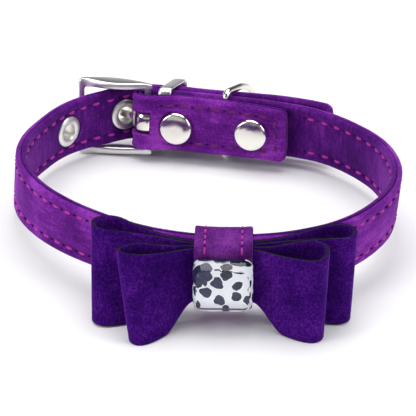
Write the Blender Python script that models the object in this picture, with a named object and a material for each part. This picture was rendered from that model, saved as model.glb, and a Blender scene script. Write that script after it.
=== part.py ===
"""Pet bow tie collar: a two-ply suede strap buckled into a ring, with a double bow and a glass stone.

Metres, +Z up. The collar is laid out round its own middle plane, the bow at -Y and the buckle at +Y,
and at the end it is set down on the floor the way it rests, with its box centred on the origin.
"""
import math

import bmesh
import bpy
import numpy as np
from mathutils import Matrix, Vector

# Clearance between pieces that touch
SEAT_GAP = 0.0003

# Strap
STRAP_WIDTH = 0.016
PLY_THICK = 0.0014
EDGE_ROUND = 0.0010
EDGE_SOFTEN = 0.0003
END_CORNER = 0.0020
STATION_STEP = 0.0047

# Ring round the neck, measured at the middle of the strap
RING_RADIUS = 0.050
BAR_HEADING = 110.0
KNOT_HEADING = 275.6

# Lengths along the strap, from the buckle bar
INNER_LEG = 0.0415
TAIL_LENGTH = 0.0515
LEG_GAP = 0.0012
TAIL_GAP = 0.0012
FOLD_TAPER = 0.0095
TAIL_RISE = 0.0135
TAIL_RISE_END = 0.0005

# Buckle
BAR_DIAMETER = 0.0020
FRAME_LENGTH = 0.0190
FRAME_ARCH = 0.0017
FRAME_PLATE = 0.0018
FRAME_BAR_WIDTH = 0.0018
FRAME_BELLY = 0.0018
FRAME_TALL_FRONT = 0.0228
FRAME_TALL_BAR = 0.0214
FRAME_FLARE = 0.7
FRAME_SIDE_GAP = 0.0007
SLOT_WIDTH = 0.0042
PRONG_THICK = 0.0013
PRONG_WIDTH = 0.0022
PRONG_ROOT_WIDTH = 0.0034
PRONG_RISE = 0.0020
PRONG_OVERHANG = 0.0014
PRONG_TAPER = 0.35

# Eyelets
EYELET_COUNT = 4
EYELET_PITCH = 0.0195
EYELETS_BEFORE_BAR = 2
HOLE_TO_BAR = 0.0073
EYELET_FLANGE = 0.0090
EYELET_BARREL = 0.0052
EYELET_BORE = 0.0045
EYELET_RIM = 0.0007
EYELET_SINK = 0.0005
EYELET_ROOM = 0.00096

# Rivets
RIVET_ROWS = (
    # distance along from the bar, height over the strap's middle
    (0.0093, -0.0011),
    (0.0310, -0.0003),
)
RIVET_DOME = 0.0094
RIVET_DOME_RISE = 0.0017
RIVET_POST = 0.0022
RIVET_BACK = 0.0064
RIVET_BACK_THICK = 0.0006
RIVET_BACK_SINK = 0.0005

# Keeper loop and leash ring
KEEPER_PLACE = 0.0048
KEEPER_WIDTH = 0.0036
KEEPER_THICK = 0.0009
KEEPER_CORNER = 0.0013
KEEPER_LEAN = 15.0
KEEPER_ROOM = 0.0009
KEEPER_SIDE_GAP = 0.0005
RING_PLACE = 0.0226
RING_WIRE = 0.0020
RING_DEPTH = 0.0162
RING_SIDE_GAP = 0.0007
RING_CORNER = 0.0018
RING_LEAN = 22.0

# Bow, knot band and stone
RIBBON_WIDTH = 0.0254
RIBBON_THICK = 0.0010
RIBBON_TOP_RISE = 0.0030
RIBBON_OPENING = 0.34
RIBBON_ROWS = 5
REAR_SPAN = 0.0666
FRONT_SPAN = 0.0525
REAR_LOOP_DEPTH = 0.0075
FRONT_LOOP_DEPTH = 0.0090
BOW_YAW = 3.0
BAND_WIDTH = 0.0148
BAND_THICK = 0.0015
BAND_CORNER = 0.0024
STONE_WIDTH = 0.0152
STONE_HEIGHT = 0.0140
STONE_THICK = 0.0045
STONE_GIRDLE = 0.0020
STONE_TABLE_INSET = 0.0017
STONE_CORNER = 0.0024

# Weights by volume, used to find how the collar rests, in kilograms per cubic metre
SUEDE_DENSITY = 650.0
METAL_DENSITY = 6800.0
GLASS_DENSITY = 2500.0

# Sizes that follow from those above
STRAP_THICK = 2 * PLY_THICK + SEAT_GAP
HALF_STRAP = STRAP_THICK / 2
FOLD_RADIUS = BAR_DIAMETER / 2 + SEAT_GAP + HALF_STRAP
FOLD_GAP = BAR_DIAMETER + 2 * SEAT_GAP
TAIL_OFFSET = STRAP_THICK + TAIL_GAP
RIBBON_PITCH = RIBBON_THICK + SEAT_GAP
STACK_FRONT = HALF_STRAP + SEAT_GAP + 4 * RIBBON_PITCH

# The ring seen from above: one row for each 15 degrees, from +X towards +Y
RING_ROWS = (
    # radius as a share of RING_RADIUS, outward lean of the strap's top edge in degrees
    (1.002, 4.0),
    (0.984, 1.0),
    (0.946, -2.0),
    (0.912, -3.0),
    (0.862, 0.0),
    (0.832, 5.0),
    (0.852, 8.0),
    (0.938, 7.0),
    (1.060, 3.0),
    (1.090, -2.0),
    (1.066, -4.0),
    (1.048, -4.0),
    (1.004, -3.0),
    (0.934, -1.0),
    (0.870, 1.0),
    (0.829, 3.0),
    (0.818, 4.0),
    (0.828, 4.0),
    (0.847, 5.0),
    (0.877, 5.0),
    (0.918, 6.0),
    (0.956, 8.0),
    (0.980, 8.0),
    (1.000, 7.0),
)

# How far the bottom edge of each fold lies forward of its top edge and inward, and how far the back
# layer of the loop is drawn forward at its top edge
REAR_LEANS = (
    # forward, inward, back layer's top forward; the loop at -X first
    (0.0062, 0.0, 0.0),
    (0.0010, 0.0011, 0.0),
)
FRONT_LEANS = (
    # forward, inward, back layer's top forward; the loop at -X first
    (0.0034, 0.0029, 0.0024),
    (-0.0010, 0.0010, -0.0026),
)

# One side of each ribbon loop seen from above, from the knot along the back layer to the fold
# and back along the front layer
REAR_LOOP_ROWS = (
    # reach as a share of half the span, layer from back -1 to front 1, depth as a share of the loop's
    (0.00, -1.0, 0.00),
    (0.12, -1.0, 0.00),
    (0.24, -1.0, 0.00),
    (0.42, -1.0, -0.15),
    (0.60, -1.0, -0.40),
    (0.78, -1.0, -0.66),
    (0.90, -1.0, -0.70),
    (0.97, -0.7, -0.56),
    (1.00, 0.0, -0.34),
    (0.975, 0.7, -0.12),
    (0.91, 1.0, 0.00),
    (0.80, 1.0, 0.00),
    (0.60, 1.0, -0.08),
    (0.42, 1.0, -0.10),
    (0.24, 1.0, 0.00),
    (0.12, 1.0, 0.00),
)
FRONT_LOOP_ROWS = (
    # reach as a share of half the span, layer from back -1 to front 1, depth as a share of the loop's
    (0.00, -1.0, 0.00),
    (0.15, -1.0, 0.00),
    (0.31, -1.0, 0.00),
    (0.46, -1.0, 0.09),
    (0.62, -1.0, 0.15),
    (0.78, -1.0, 0.20),
    (0.90, -1.0, 0.34),
    (0.98, -0.6, 0.52),
    (1.00, 0.0, 0.68),
    (0.97, 0.6, 0.84),
    (0.90, 1.0, 0.92),
    (0.78, 1.0, 0.84),
    (0.62, 1.0, 0.58),
    (0.46, 1.0, 0.26),
    (0.31, 1.0, 0.02),
    (0.15, 1.0, 0.00),
)


def clear_scene():
    for thing in list(bpy.data.objects):
        bpy.data.objects.remove(thing, do_unlink=True)


def smooth(value):
    value = min(1.0, max(0.0, value))
    return value * value * (3 - 2 * value)


def between(before, start, end, after, share):
    """Catmull-Rom value between start and end."""
    return 0.5 * (
        2 * start
        + (end - before) * share
        + (2 * before - 5 * start + 4 * end - after) * share ** 2
        + (3 * start - before - 3 * end + after) * share ** 3
    )


def round_value(rows, column, heading):
    """A column of a closed table, read at a heading in degrees."""
    count = len(rows)
    place = (heading % 360.0) / 360.0 * count
    row = int(place)
    picks = [rows[(row + step) % count][column] for step in (-1, 0, 1, 2)]
    return between(*picks, place - row)


class Frame:
    """A place on the strap: its middle, and the directions along, out from the neck and up."""

    def __init__(self, origin, along, out, up):
        self.origin = origin
        self.along = along
        self.out = out
        self.up = up

    def at(self, along, out, up):
        return self.origin + self.along * along + self.out * out + self.up * up

    def matrix(self):
        turn = Matrix((self.along, self.out, self.up)).transposed()
        return Matrix.Translation(self.origin) @ turn.to_4x4()


class NeckRing:
    """The strap's middle line as a closed curve, clockwise from the buckle bar."""

    SAMPLES = 1440

    def __init__(self):
        headings = [BAR_HEADING - 360.0 * k / self.SAMPLES for k in range(self.SAMPLES + 1)]
        radii = [RING_RADIUS * round_value(RING_ROWS, 0, heading) for heading in headings]
        self.headings = np.array(headings)
        self.x = np.array([r * math.cos(math.radians(h)) for r, h in zip(radii, headings)])
        self.y = np.array([r * math.sin(math.radians(h)) for r, h in zip(radii, headings)])
        self.lean = np.array([round_value(RING_ROWS, 1, heading) for heading in headings])
        steps = np.hypot(np.diff(self.x), np.diff(self.y))
        self.run = np.concatenate(([0.0], np.cumsum(steps)))
        self.length = float(self.run[-1])

    def read(self, values, place):
        return float(np.interp(place % self.length, self.run, values))

    def place_of(self, heading):
        turned = (BAR_HEADING - heading) % 360.0
        return float(np.interp(turned, BAR_HEADING - self.headings, self.run))

    def frame(self, place):
        reach = 0.001
        ahead = Vector((self.read(self.x, place + reach), self.read(self.y, place + reach), 0))
        behind = Vector((self.read(self.x, place - reach), self.read(self.y, place - reach), 0))
        along = (ahead - behind).normalized()
        level_out = Vector((-along.y, along.x, 0))
        lean = math.radians(self.read(self.lean, place))
        up = Vector((0, 0, 1)) * math.cos(lean) + level_out * math.sin(lean)
        out = level_out * math.cos(lean) - Vector((0, 0, 1)) * math.sin(lean)
        origin = Vector((self.read(self.x, place), self.read(self.y, place), 0))
        return Frame(origin, along, out, up)


RING = NeckRing()


def leg_gap(place):
    """Space between the two legs that the folded end makes."""
    return LEG_GAP + (FOLD_GAP - LEG_GAP) * (1 - smooth(place / FOLD_TAPER))


def leg_point(place):
    return RING.frame(place).at(0, -(STRAP_THICK + leg_gap(place)), 0)


def run_offset(place):
    """How far the long run lies outside the ring's own line: the tail climbs over the fold."""
    start = RING.length - TAIL_RISE - TAIL_RISE_END
    return TAIL_OFFSET * smooth((place - start) / TAIL_RISE)


def run_point(place):
    return RING.frame(place).at(0, run_offset(place), 0)


def strap_frame(point_of, place):
    """The frame of the strap itself, following its own line."""
    reach = 0.0006
    up = RING.frame(place).up
    along = (point_of(place + reach) - point_of(place - reach)).normalized()
    out = up.cross(along).normalized()
    return Frame(point_of(place), along, out, up)


def spaced(start, stop, step):
    count = max(1, round(abs(stop - start) / step))
    return [start + (stop - start) * k / count for k in range(count + 1)]


def corner_steps():
    """Distances from a strap end, with the half width there: the corners are round."""
    rows = []
    for share in (0.0, 0.13, 0.5, 1.0):
        inside = END_CORNER * (1 - share)
        drop = END_CORNER - math.sqrt(END_CORNER ** 2 - inside ** 2)
        rows.append((END_CORNER * share, STRAP_WIDTH / 2 - drop))
    return rows


def strap_stations():
    """Middle points, up directions and half widths, from the inner end to the tail tip."""
    full = STRAP_WIDTH / 2
    stations = []
    for distance, half in corner_steps():
        place = INNER_LEG - distance
        stations.append((leg_point(place), RING.frame(place).up, half))
    for place in spaced(INNER_LEG - END_CORNER, 0.0, STATION_STEP)[1:]:
        stations.append((leg_point(place), RING.frame(place).up, full))
    bar = RING.frame(0.0)
    turns = 8
    for k in range(1, turns):
        angle = math.pi * k / turns
        along = -FOLD_RADIUS * math.sin(angle)
        out = -FOLD_RADIUS - FOLD_RADIUS * math.cos(angle)
        stations.append((bar.at(along, out, 0), bar.up, full))
    climb = RING.length - TAIL_RISE - TAIL_RISE_END
    flat = RING.length + TAIL_RISE_END
    tip = RING.length + TAIL_LENGTH
    for place in spaced(0.0, climb, STATION_STEP):
        stations.append((run_point(place), RING.frame(place).up, full))
    for place in spaced(climb, flat, STATION_STEP / 2)[1:]:
        stations.append((run_point(place), RING.frame(place).up, full))
    for place in spaced(flat, tip - END_CORNER, STATION_STEP)[1:]:
        stations.append((run_point(place), RING.frame(place).up, full))
    for distance, half in reversed(corner_steps()[:-1]):
        place = tip - distance
        stations.append((run_point(place), RING.frame(place).up, half))
    return stations


def ply_outline(side, half):
    """Section of one ply: side 1 is the face, side -1 the lining. Rows are out and up."""
    near = SEAT_GAP / 2
    far = near + PLY_THICK
    rows = [(near, EDGE_SOFTEN - half)]
    for angle in (-90, -45, 0):
        turn = math.radians(angle)
        out = far - EDGE_ROUND + EDGE_ROUND * math.cos(turn)
        rows.append((out, EDGE_ROUND - half + EDGE_ROUND * math.sin(turn)))
    rows += [(out, -up) for out, up in reversed(rows)]
    return [(side * out, up) for out, up in rows]


def loft(rings, closed=False):
    """A closed body through rings of points, its ends capped unless it closes on itself."""
    mesh = bmesh.new()
    rows = [[mesh.verts.new(point) for point in ring] for ring in rings]
    count = len(rows[0])
    pairs = list(zip(rows, rows[1:]))
    if closed:
        pairs.append((rows[-1], rows[0]))
    for first, second in pairs:
        for k in range(count):
            after = (k + 1) % count
            mesh.faces.new((first[k], first[after], second[after], second[k]))
    if not closed:
        mesh.faces.new(rows[0])
        mesh.faces.new(rows[-1])
    bmesh.ops.recalc_face_normals(mesh, faces=mesh.faces)
    return mesh


def spin(profile, frame, sides):
    """A turned body about the frame's out direction. Profile rows are radius and out."""
    rings = []
    for k in range(sides):
        turn = 2 * math.pi * k / sides
        rings.append([
            frame.at(radius * math.cos(turn), out, radius * math.sin(turn))
            for radius, out in profile
        ])
    return loft(rings, closed=True)


def solid_spin(profile, frame, sides):
    """As spin, for a profile whose two ends lie on the axis: its poles are fans."""
    mesh = bmesh.new()
    first = mesh.verts.new(frame.at(0, profile[0][1], 0))
    last = mesh.verts.new(frame.at(0, profile[-1][1], 0))
    rings = []
    for radius, out in profile[1:-1]:
        turns = [2 * math.pi * k / sides for k in range(sides)]
        rings.append([
            mesh.verts.new(frame.at(radius * math.cos(turn), out, radius * math.sin(turn)))
            for turn in turns
        ])
    for k in range(sides):
        after = (k + 1) % sides
        mesh.faces.new((first, rings[0][k], rings[0][after]))
        mesh.faces.new((last, rings[-1][after], rings[-1][k]))
        for inner, outer in zip(rings, rings[1:]):
            mesh.faces.new((inner[k], outer[k], outer[after], inner[after]))
    bmesh.ops.recalc_face_normals(mesh, faces=mesh.faces)
    return mesh


def add_object(name, mesh, material, parent, smooth_angle=None):
    data = bpy.data.meshes.new(name)
    mesh.to_mesh(data)
    mesh.free()
    thing = bpy.data.objects.new(name, data)
    bpy.context.collection.objects.link(thing)
    data.materials.append(material)
    thing.parent = parent
    if smooth_angle is not None:
        data.shade_smooth()
        data.set_sharp_from_angle(angle=math.radians(smooth_angle))
    return thing


def joined(meshes):
    """One mesh from several that lie apart."""
    whole = bmesh.new()
    for mesh in meshes:
        data = bpy.data.meshes.new("part_of_whole")
        mesh.to_mesh(data)
        mesh.free()
        whole.from_mesh(data)
        bpy.data.meshes.remove(data)
    return whole


def add_cutter(name, meshes, parent):
    thing = add_object(name, joined(meshes), bpy.data.materials["suede_face"], parent)
    thing.hide_render = True
    thing.display_type = "WIRE"
    return thing


def cut(thing, cutter, operation="DIFFERENCE"):
    modifier = thing.modifiers.new(cutter.name, "BOOLEAN")
    modifier.operation = operation
    modifier.solver = "EXACT"
    modifier.object = cutter


def box_mesh(frame, along, out, up):
    """A block between pairs of limits along, out and up in a frame."""
    rings = []
    for place in along:
        corners = ((out[0], up[0]), (out[1], up[0]), (out[1], up[1]), (out[0], up[1]))
        rings.append([frame.at(place, across, high) for across, high in corners])
    return loft(rings)


# Finishes
def make_material(name, colour, roughness, metallic):
    material = bpy.data.materials.new(name)
    material.use_nodes = True
    shader = material.node_tree.nodes["Principled BSDF"]
    shader.inputs["Base Color"].default_value = (*colour, 1.0)
    shader.inputs["Roughness"].default_value = roughness
    shader.inputs["Metallic"].default_value = metallic
    material.diffuse_color = (*colour, 1.0)
    return material


def make_materials():
    make_material("suede_face", (0.147, 0.020, 0.245), 0.95, 0.0)
    make_material("suede_lining", (0.125, 0.017, 0.215), 0.95, 0.0)
    make_material("velvet_ribbon", (0.040, 0.006, 0.110), 0.90, 0.0)
    make_material("nickel", (0.74, 0.73, 0.71), 0.22, 1.0)
    make_material("clear_glass", (0.90, 0.91, 0.93), 0.05, 0.0)


# Strap
def strap_body(side):
    stations = strap_stations()
    rings = []
    for k, (middle, up, half) in enumerate(stations):
        ahead = stations[min(k + 1, len(stations) - 1)][0]
        behind = stations[max(k - 1, 0)][0]
        face = up.cross(ahead - behind).normalized()
        rings.append([middle + face * out + up * high for out, high in ply_outline(side, half)])
    return loft(rings)


def eyelet_places():
    first = RING.length - HOLE_TO_BAR - (EYELETS_BEFORE_BAR - 1) * EYELET_PITCH
    return [first + k * EYELET_PITCH for k in range(EYELET_COUNT)]


def eyelet_cutter(place):
    """Punched hole with a pressed seat for a flange on each face."""
    hole = EYELET_BARREL / 2 + SEAT_GAP
    seat = EYELET_FLANGE / 2 + SEAT_GAP
    face = HALF_STRAP - EYELET_SINK
    clear = HALF_STRAP + EYELET_ROOM
    profile = [(0, -clear), (seat, -clear), (seat, -face), (hole, -face)]
    profile += [(radius, -out) for radius, out in reversed(profile)]
    return solid_spin(profile, strap_frame(run_point, place), 16)


def rivet_frame(place, high):
    base = RING.frame(place)
    return Frame(base.at(0, 0, high), base.along, base.out, base.up)


def rivet_levels(place):
    """Out positions of the neck face and of the outer face that a rivet clamps."""
    return -(STRAP_THICK + leg_gap(place) + HALF_STRAP), HALF_STRAP


def rivet_cutter(place, high):
    neck, outer = rivet_levels(place)
    hole = RIVET_POST / 2 + SEAT_GAP
    dome = RIVET_DOME / 2 + SEAT_GAP
    back = RIVET_BACK / 2 + SEAT_GAP
    clear = 4 * SEAT_GAP
    profile = [
        (0, neck - clear), (dome, neck - clear), (dome, neck), (hole, neck),
        (hole, outer - RIVET_BACK_SINK), (back, outer - RIVET_BACK_SINK),
        (back, outer + SEAT_GAP), (0, outer + SEAT_GAP),
    ]
    return solid_spin(profile, rivet_frame(place, high), 16)


def slot_cutter():
    """The slot in the fold that lets the prong out."""
    bar = RING.frame(0.0)
    centre = Frame(bar.at(0, -FOLD_RADIUS, 0), bar.along, bar.up, bar.out)
    reach = FOLD_RADIUS + HALF_STRAP + SEAT_GAP / 2
    half = SLOT_WIDTH / 2
    profile = [(0, -half), (reach, -half), (reach, half), (0, half)]
    return solid_spin(profile, centre, 32)


def leash_ring_frame():
    """The leash ring's bar: its axis is the frame's up direction."""
    base = RING.frame(RING_PLACE)
    origin = base.at(0, -(HALF_STRAP + leg_gap(RING_PLACE) / 2), 0)
    return Frame(origin, base.along, base.out, base.up)


def groove_cutter():
    """The groove pressed into both legs by the leash ring's bar."""
    ring = leash_ring_frame()
    upright = Frame(ring.origin, ring.along, ring.up, ring.out)
    radius = RING_WIRE / 2 + SEAT_GAP
    reach = STRAP_WIDTH / 2 + 4 * SEAT_GAP
    return solid_spin([(0, -reach), (radius, -reach), (radius, reach), (0, reach)], upright, 16)


def keeper_frame():
    base = RING.frame(KEEPER_PLACE)
    origin = base.at(0, -(HALF_STRAP + leg_gap(KEEPER_PLACE) / 2), 0)
    return Frame(origin, base.along, base.out, base.up)


def keeper_cutter():
    """The flat groove pressed into both legs by the keeper's bar."""
    half = KEEPER_WIDTH / 2 + SEAT_GAP
    deep = KEEPER_THICK / 2 + SEAT_GAP
    tall = STRAP_WIDTH / 2 + 4 * SEAT_GAP
    return box_mesh(keeper_frame(), (-half, half), (-deep, deep), (-tall, tall))


def make_strap(root):
    holes = [eyelet_cutter(place) for place in eyelet_places()]
    holes += [rivet_cutter(place, high) for place, high in RIVET_ROWS]
    cutters = [
        add_cutter("hole_cutters", holes, root),
        add_cutter("slot_cutter", [slot_cutter()], root),
        add_cutter("ring_groove_cutter", [groove_cutter()], root),
        add_cutter("keeper_groove_cutter", [keeper_cutter()], root),
    ]
    for name, side, material in (
        ("strap_face_ply", 1, "suede_face"),
        ("strap_lining_ply", -1, "suede_lining"),
    ):
        ply = add_object(name, strap_body(side), bpy.data.materials[material], root, 40)
        for cutter in cutters:
            cut(ply, cutter)


# Eyelets and rivets
def make_eyelet(name, place, root):
    """A flanged sleeve clamped on both faces."""
    seat = HALF_STRAP - EYELET_SINK + SEAT_GAP
    top = seat + EYELET_RIM
    bore = EYELET_BORE / 2
    barrel = EYELET_BARREL / 2
    flange = EYELET_FLANGE / 2
    crest = (bore + flange) / 2
    half = [
        (barrel, seat), (flange, seat), (flange - EYELET_RIM / 3, top - EYELET_RIM / 3),
        (crest, top), (bore, seat),
    ]
    profile = half + [(radius, -out) for radius, out in reversed(half)]
    mesh = spin(profile, strap_frame(run_point, place), 18)
    add_object(name, mesh, bpy.data.materials["nickel"], root, 30)


def make_rivet(name, place, high, root):
    """A domed cap on the neck side, its post through both legs and a low cap outside."""
    neck, outer = rivet_levels(place)
    seat = neck - SEAT_GAP
    radius = RIVET_DOME / 2
    rim = RIVET_DOME_RISE / 4
    profile = [(0, seat - RIVET_DOME_RISE)]
    for angle in (22.5, 45, 67.5, 90):
        turn = math.radians(angle)
        rise = rim + (RIVET_DOME_RISE - rim) * math.cos(turn)
        profile.append((radius * math.sin(turn), seat - rise))
    back_seat = outer - RIVET_BACK_SINK + SEAT_GAP
    profile += [
        (radius, seat), (RIVET_POST / 2, seat), (RIVET_POST / 2, back_seat),
        (RIVET_BACK / 2, back_seat), (RIVET_BACK / 2 - RIVET_BACK_THICK / 2, back_seat + RIVET_BACK_THICK),
        (0, back_seat + RIVET_BACK_THICK),
    ]
    mesh = solid_spin(profile, rivet_frame(place, high), 20)
    add_object(name, mesh, bpy.data.materials["nickel"], root, 30)


# Buckle
def buckle_frame_axes():
    """Origin on the bar; along points from the bar to the front of the buckle."""
    bar = RING.frame(0.0)
    return Frame(bar.at(0, -FOLD_RADIUS, 0), -bar.along, bar.out, bar.up)


def arch(reach):
    """Rise of the buckle's plate over its chord."""
    share = min(1.0, max(0.0, reach / FRAME_LENGTH))
    return FRAME_ARCH * math.sin(math.pi * share)


def plate_mesh(start, stop, tall_bar, tall_front, thick, belly=0.0):
    """An arched plate from one reach to another, its height growing from the bar to the front and
    its middle deeper towards the neck by the belly."""
    axes = buckle_frame_axes()
    rings = []
    for reach in spaced(start, stop, (stop - start) / 10):
        share = min(1.0, max(0.0, reach / FRAME_LENGTH))
        half = (tall_bar + (tall_front - tall_bar) * share ** FRAME_FLARE) / 2
        ease = thick / 4
        middle = arch(reach)
        low = -thick / 2 - belly * math.sin(math.pi * share) ** 1.5
        section = (
            (low, ease - half), (ease + low, -half), (thick / 2 - ease, -half),
            (thick / 2, ease - half), (thick / 2, half - ease), (thick / 2 - ease, half),
            (ease + low, half), (low, half - ease),
        )
        rings.append([axes.at(reach, middle + out, high) for out, high in section])
    return loft(rings)


def make_buckle_frame(root):
    """A trapezoid plate, arched, with one window and the bar that the strap folds round."""
    end = BAR_DIAMETER / 2 + SEAT_GAP
    front = FRAME_LENGTH + FRAME_BAR_WIDTH / 2
    window = STRAP_WIDTH + 2 * FRAME_SIDE_GAP
    plate = plate_mesh(-end, front, FRAME_TALL_BAR, FRAME_TALL_FRONT, FRAME_PLATE, FRAME_BELLY)
    opening = plate_mesh(-2 * end, FRAME_LENGTH - FRAME_BAR_WIDTH / 2, window, window, 4 * FRAME_PLATE)
    axes = buckle_frame_axes()
    upright = Frame(axes.origin, axes.along, axes.up, axes.out)
    radius = BAR_DIAMETER / 2
    tall = window / 2 + SEAT_GAP
    bar = solid_spin([(0, -tall), (radius, -tall), (radius, tall), (0, tall)], upright, 12)
    nickel = bpy.data.materials["nickel"]
    frame = add_object("buckle_frame", plate, nickel, root, 30)
    cut(frame, add_cutter("window_cutter", [opening], root))
    cut(frame, add_cutter("bar_rod", [bar], root), "UNION")


def prong_line():
    """Middle line of the prong: from its root, through the eyelet in use, to the front bar."""
    axes = buckle_frame_axes()
    hole = strap_frame(run_point, RING.length - HOLE_TO_BAR)
    ring = BAR_DIAMETER / 2 + SEAT_GAP + PRONG_THICK / 2
    toward = (hole.origin - axes.origin).normalized()
    rest = FRAME_PLATE / 2 + SEAT_GAP + PRONG_THICK / 2
    leave = hole.origin + (hole.out + toward).normalized() * (HALF_STRAP + PRONG_RISE)
    tip = axes.at(FRAME_LENGTH + PRONG_OVERHANG, arch(FRAME_LENGTH) + rest, 0)
    over = axes.at(FRAME_LENGTH - FRAME_BAR_WIDTH / 2, arch(FRAME_LENGTH) + rest + PRONG_THICK / 3, 0)
    crest = (leave + over) / 2 + axes.out * PRONG_THICK
    halfway = (axes.origin + hole.origin) / 2
    return [axes.origin + toward * ring, halfway, hole.origin, leave, crest, over, tip]


def curve_through(points, steps):
    """Points along a smooth curve through the given ones."""
    ends = [2 * points[0] - points[1]] + points + [2 * points[-1] - points[-2]]
    line = []
    for k in range(len(points) - 1):
        for step in range(steps):
            line.append(between(*ends[k:k + 4], step / steps))
    return line + [points[-1]]


def make_prong(root):
    """A flat tongue that ends in a sleeve round the bar."""
    axes = buckle_frame_axes()
    upright = Frame(axes.origin, axes.along, axes.up, axes.out)
    inner = BAR_DIAMETER / 2 + SEAT_GAP
    outer = inner + PRONG_THICK
    half = PRONG_ROOT_WIDTH / 2
    sleeve = spin([(inner, -half), (outer, -half), (outer, half), (inner, half)], upright, 16)
    line = curve_through(prong_line(), 3)
    rings = []
    for k, middle in enumerate(line):
        ahead = line[min(k + 1, len(line) - 1)]
        behind = line[max(k - 1, 0)]
        travel = (ahead - behind).normalized()
        out = axes.up.cross(travel).normalized()
        share = k / (len(line) - 1)
        wide = PRONG_WIDTH / 2 * (1 - PRONG_TAPER * share ** 3)
        thick = PRONG_THICK / 2 * (1 - PRONG_TAPER * share ** 3)
        ease = PRONG_THICK / 4
        section = (
            (-thick, ease - wide), (ease - thick, -wide), (thick - ease, -wide), (thick, ease - wide),
            (thick, wide - ease), (thick - ease, wide), (ease - thick, wide), (-thick, wide - ease),
        )
        rings.append([middle + out * a + axes.up * b for a, b in section])
    nickel = bpy.data.materials["nickel"]
    prong = add_object("buckle_prong", sleeve, nickel, root, 30)
    cut(prong, add_cutter("prong_tongue", [loft(rings)], root), "UNION")


# Keeper and leash ring
def rounded_loop(low, high, half_up, corner, steps):
    """A closed path of out and up positions round a rectangle with round corners."""
    rows = []
    middles = (
        (high - corner, half_up - corner, 0), (low + corner, half_up - corner, 90),
        (low + corner, corner - half_up, 180), (high - corner, corner - half_up, 270),
    )
    for out, up, first in middles:
        for k in range(steps + 1):
            turn = math.radians(first + 90 * k / steps)
            rows.append((out + corner * math.cos(turn), up + corner * math.sin(turn)))
    return rows


def make_keeper(root):
    """A flat metal loop: its bar lies between the legs, its arms pass over both edges of the tail."""
    frame = keeper_frame()
    half = KEEPER_WIDTH / 2
    tail_face = HALF_STRAP + leg_gap(KEEPER_PLACE) / 2 + HALF_STRAP + TAIL_OFFSET + HALF_STRAP
    low = KEEPER_THICK / 2
    high = tail_face + KEEPER_ROOM
    tall = STRAP_WIDTH / 2 + KEEPER_SIDE_GAP
    inner = rounded_loop(low, high, tall, KEEPER_CORNER, 4)
    outer = rounded_loop(-low, high + KEEPER_THICK, tall + KEEPER_THICK, KEEPER_CORNER + KEEPER_THICK, 4)
    slope = math.tan(math.radians(KEEPER_LEAN))
    ease = KEEPER_THICK / 4
    rings = []
    for (in_out, in_up), (out_out, out_up) in zip(inner, outer):
        step_out = (out_out - in_out) / 4
        step_up = (out_up - in_up) / 4
        edge_out, edge_up = in_out + step_out, in_up + step_up
        far_out, far_up = out_out - step_out, out_up - step_up
        section = (
            (ease - half, in_out, in_up), (half - ease, in_out, in_up), (half, edge_out, edge_up),
            (half, far_out, far_up), (half - ease, out_out, out_up), (ease - half, out_out, out_up),
            (-half, far_out, far_up), (-half, edge_out, edge_up),
        )
        rings.append([frame.at(along + slope * max(0.0, out), out, up) for along, out, up in section])
    add_object("keeper_loop", loft(rings, closed=True), bpy.data.materials["nickel"], root, 30)


def leash_ring_path():
    """Out and up positions of the wire's middle: a straight bar, two arms and a half round."""
    half = STRAP_WIDTH / 2 + RING_SIDE_GAP + RING_WIRE / 2
    arcs = (
        # middle out, middle up, radius, first angle, sweep, steps
        (RING_CORNER, RING_CORNER - half, RING_CORNER, 180, 90, 3),
        (RING_DEPTH - half, 0.0, half, -90, 180, 12),
        (RING_CORNER, half - RING_CORNER, RING_CORNER, 90, 90, 3),
    )
    rows = []
    for middle_out, middle_up, radius, first, sweep, steps in arcs:
        for k in range(steps + 1):
            turn = math.radians(first + sweep * k / steps)
            rows.append((middle_out + radius * math.cos(turn), middle_up + radius * math.sin(turn)))
    return rows


def make_leash_ring(root):
    """A D-shaped wire ring, hinged on its straight bar between the legs."""
    frame = leash_ring_frame()
    hinge = bpy.data.objects.new("leash_ring_hinge", None)
    bpy.context.collection.objects.link(hinge)
    hinge.parent = root
    hinge.matrix_local = frame.matrix()
    path = leash_ring_path()
    sides = 8
    rings = []
    for k, (out, up) in enumerate(path):
        ahead = path[(k + 1) % len(path)]
        behind = path[k - 1]
        travel = Vector((0, ahead[0] - behind[0], ahead[1] - behind[1])).normalized()
        side = Vector((1, 0, 0))
        normal = travel.cross(side)
        ring = []
        for j in range(sides):
            turn = 2 * math.pi * (j + 0.5) / sides
            spoke = side * math.cos(turn) + normal * math.sin(turn)
            ring.append(Vector((0, out, up)) + spoke * RING_WIRE / 2)
        rings.append(ring)
    ring = add_object("leash_ring", loft(rings, closed=True), bpy.data.materials["nickel"], hinge, 50)
    ring.rotation_euler = (0, 0, -math.radians(RING_LEAN))


# Bow, knot band and stone
def knot_place():
    return RING.place_of(KNOT_HEADING)


def sag(across):
    """Depth of the strap's own line in the knot's frame, at a short distance to the side."""
    knot = RING.frame(knot_place())
    return (RING.frame(knot_place() - across).origin - knot.origin).dot(knot.out)


def strap_face_points():
    """Both edges of the strap's outer face, as distances to the side and depths in the knot's frame."""
    knot = RING.frame(knot_place())
    reach = REAR_SPAN
    rows = []
    for place in spaced(knot_place() - reach, knot_place() + reach, STRAP_THICK / 3):
        frame = RING.frame(place)
        for edge in (-0.5, 0.5):
            point = frame.at(0, HALF_STRAP, STRAP_WIDTH * edge) - knot.origin
            rows.append((-point.dot(knot.along), point.dot(knot.out)))
    return rows


def strap_front(face, across):
    """Depth of the strap's outer face at a distance to the side."""
    return max(depth for side, depth in face if abs(side - across) < STRAP_THICK / 2)


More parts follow.
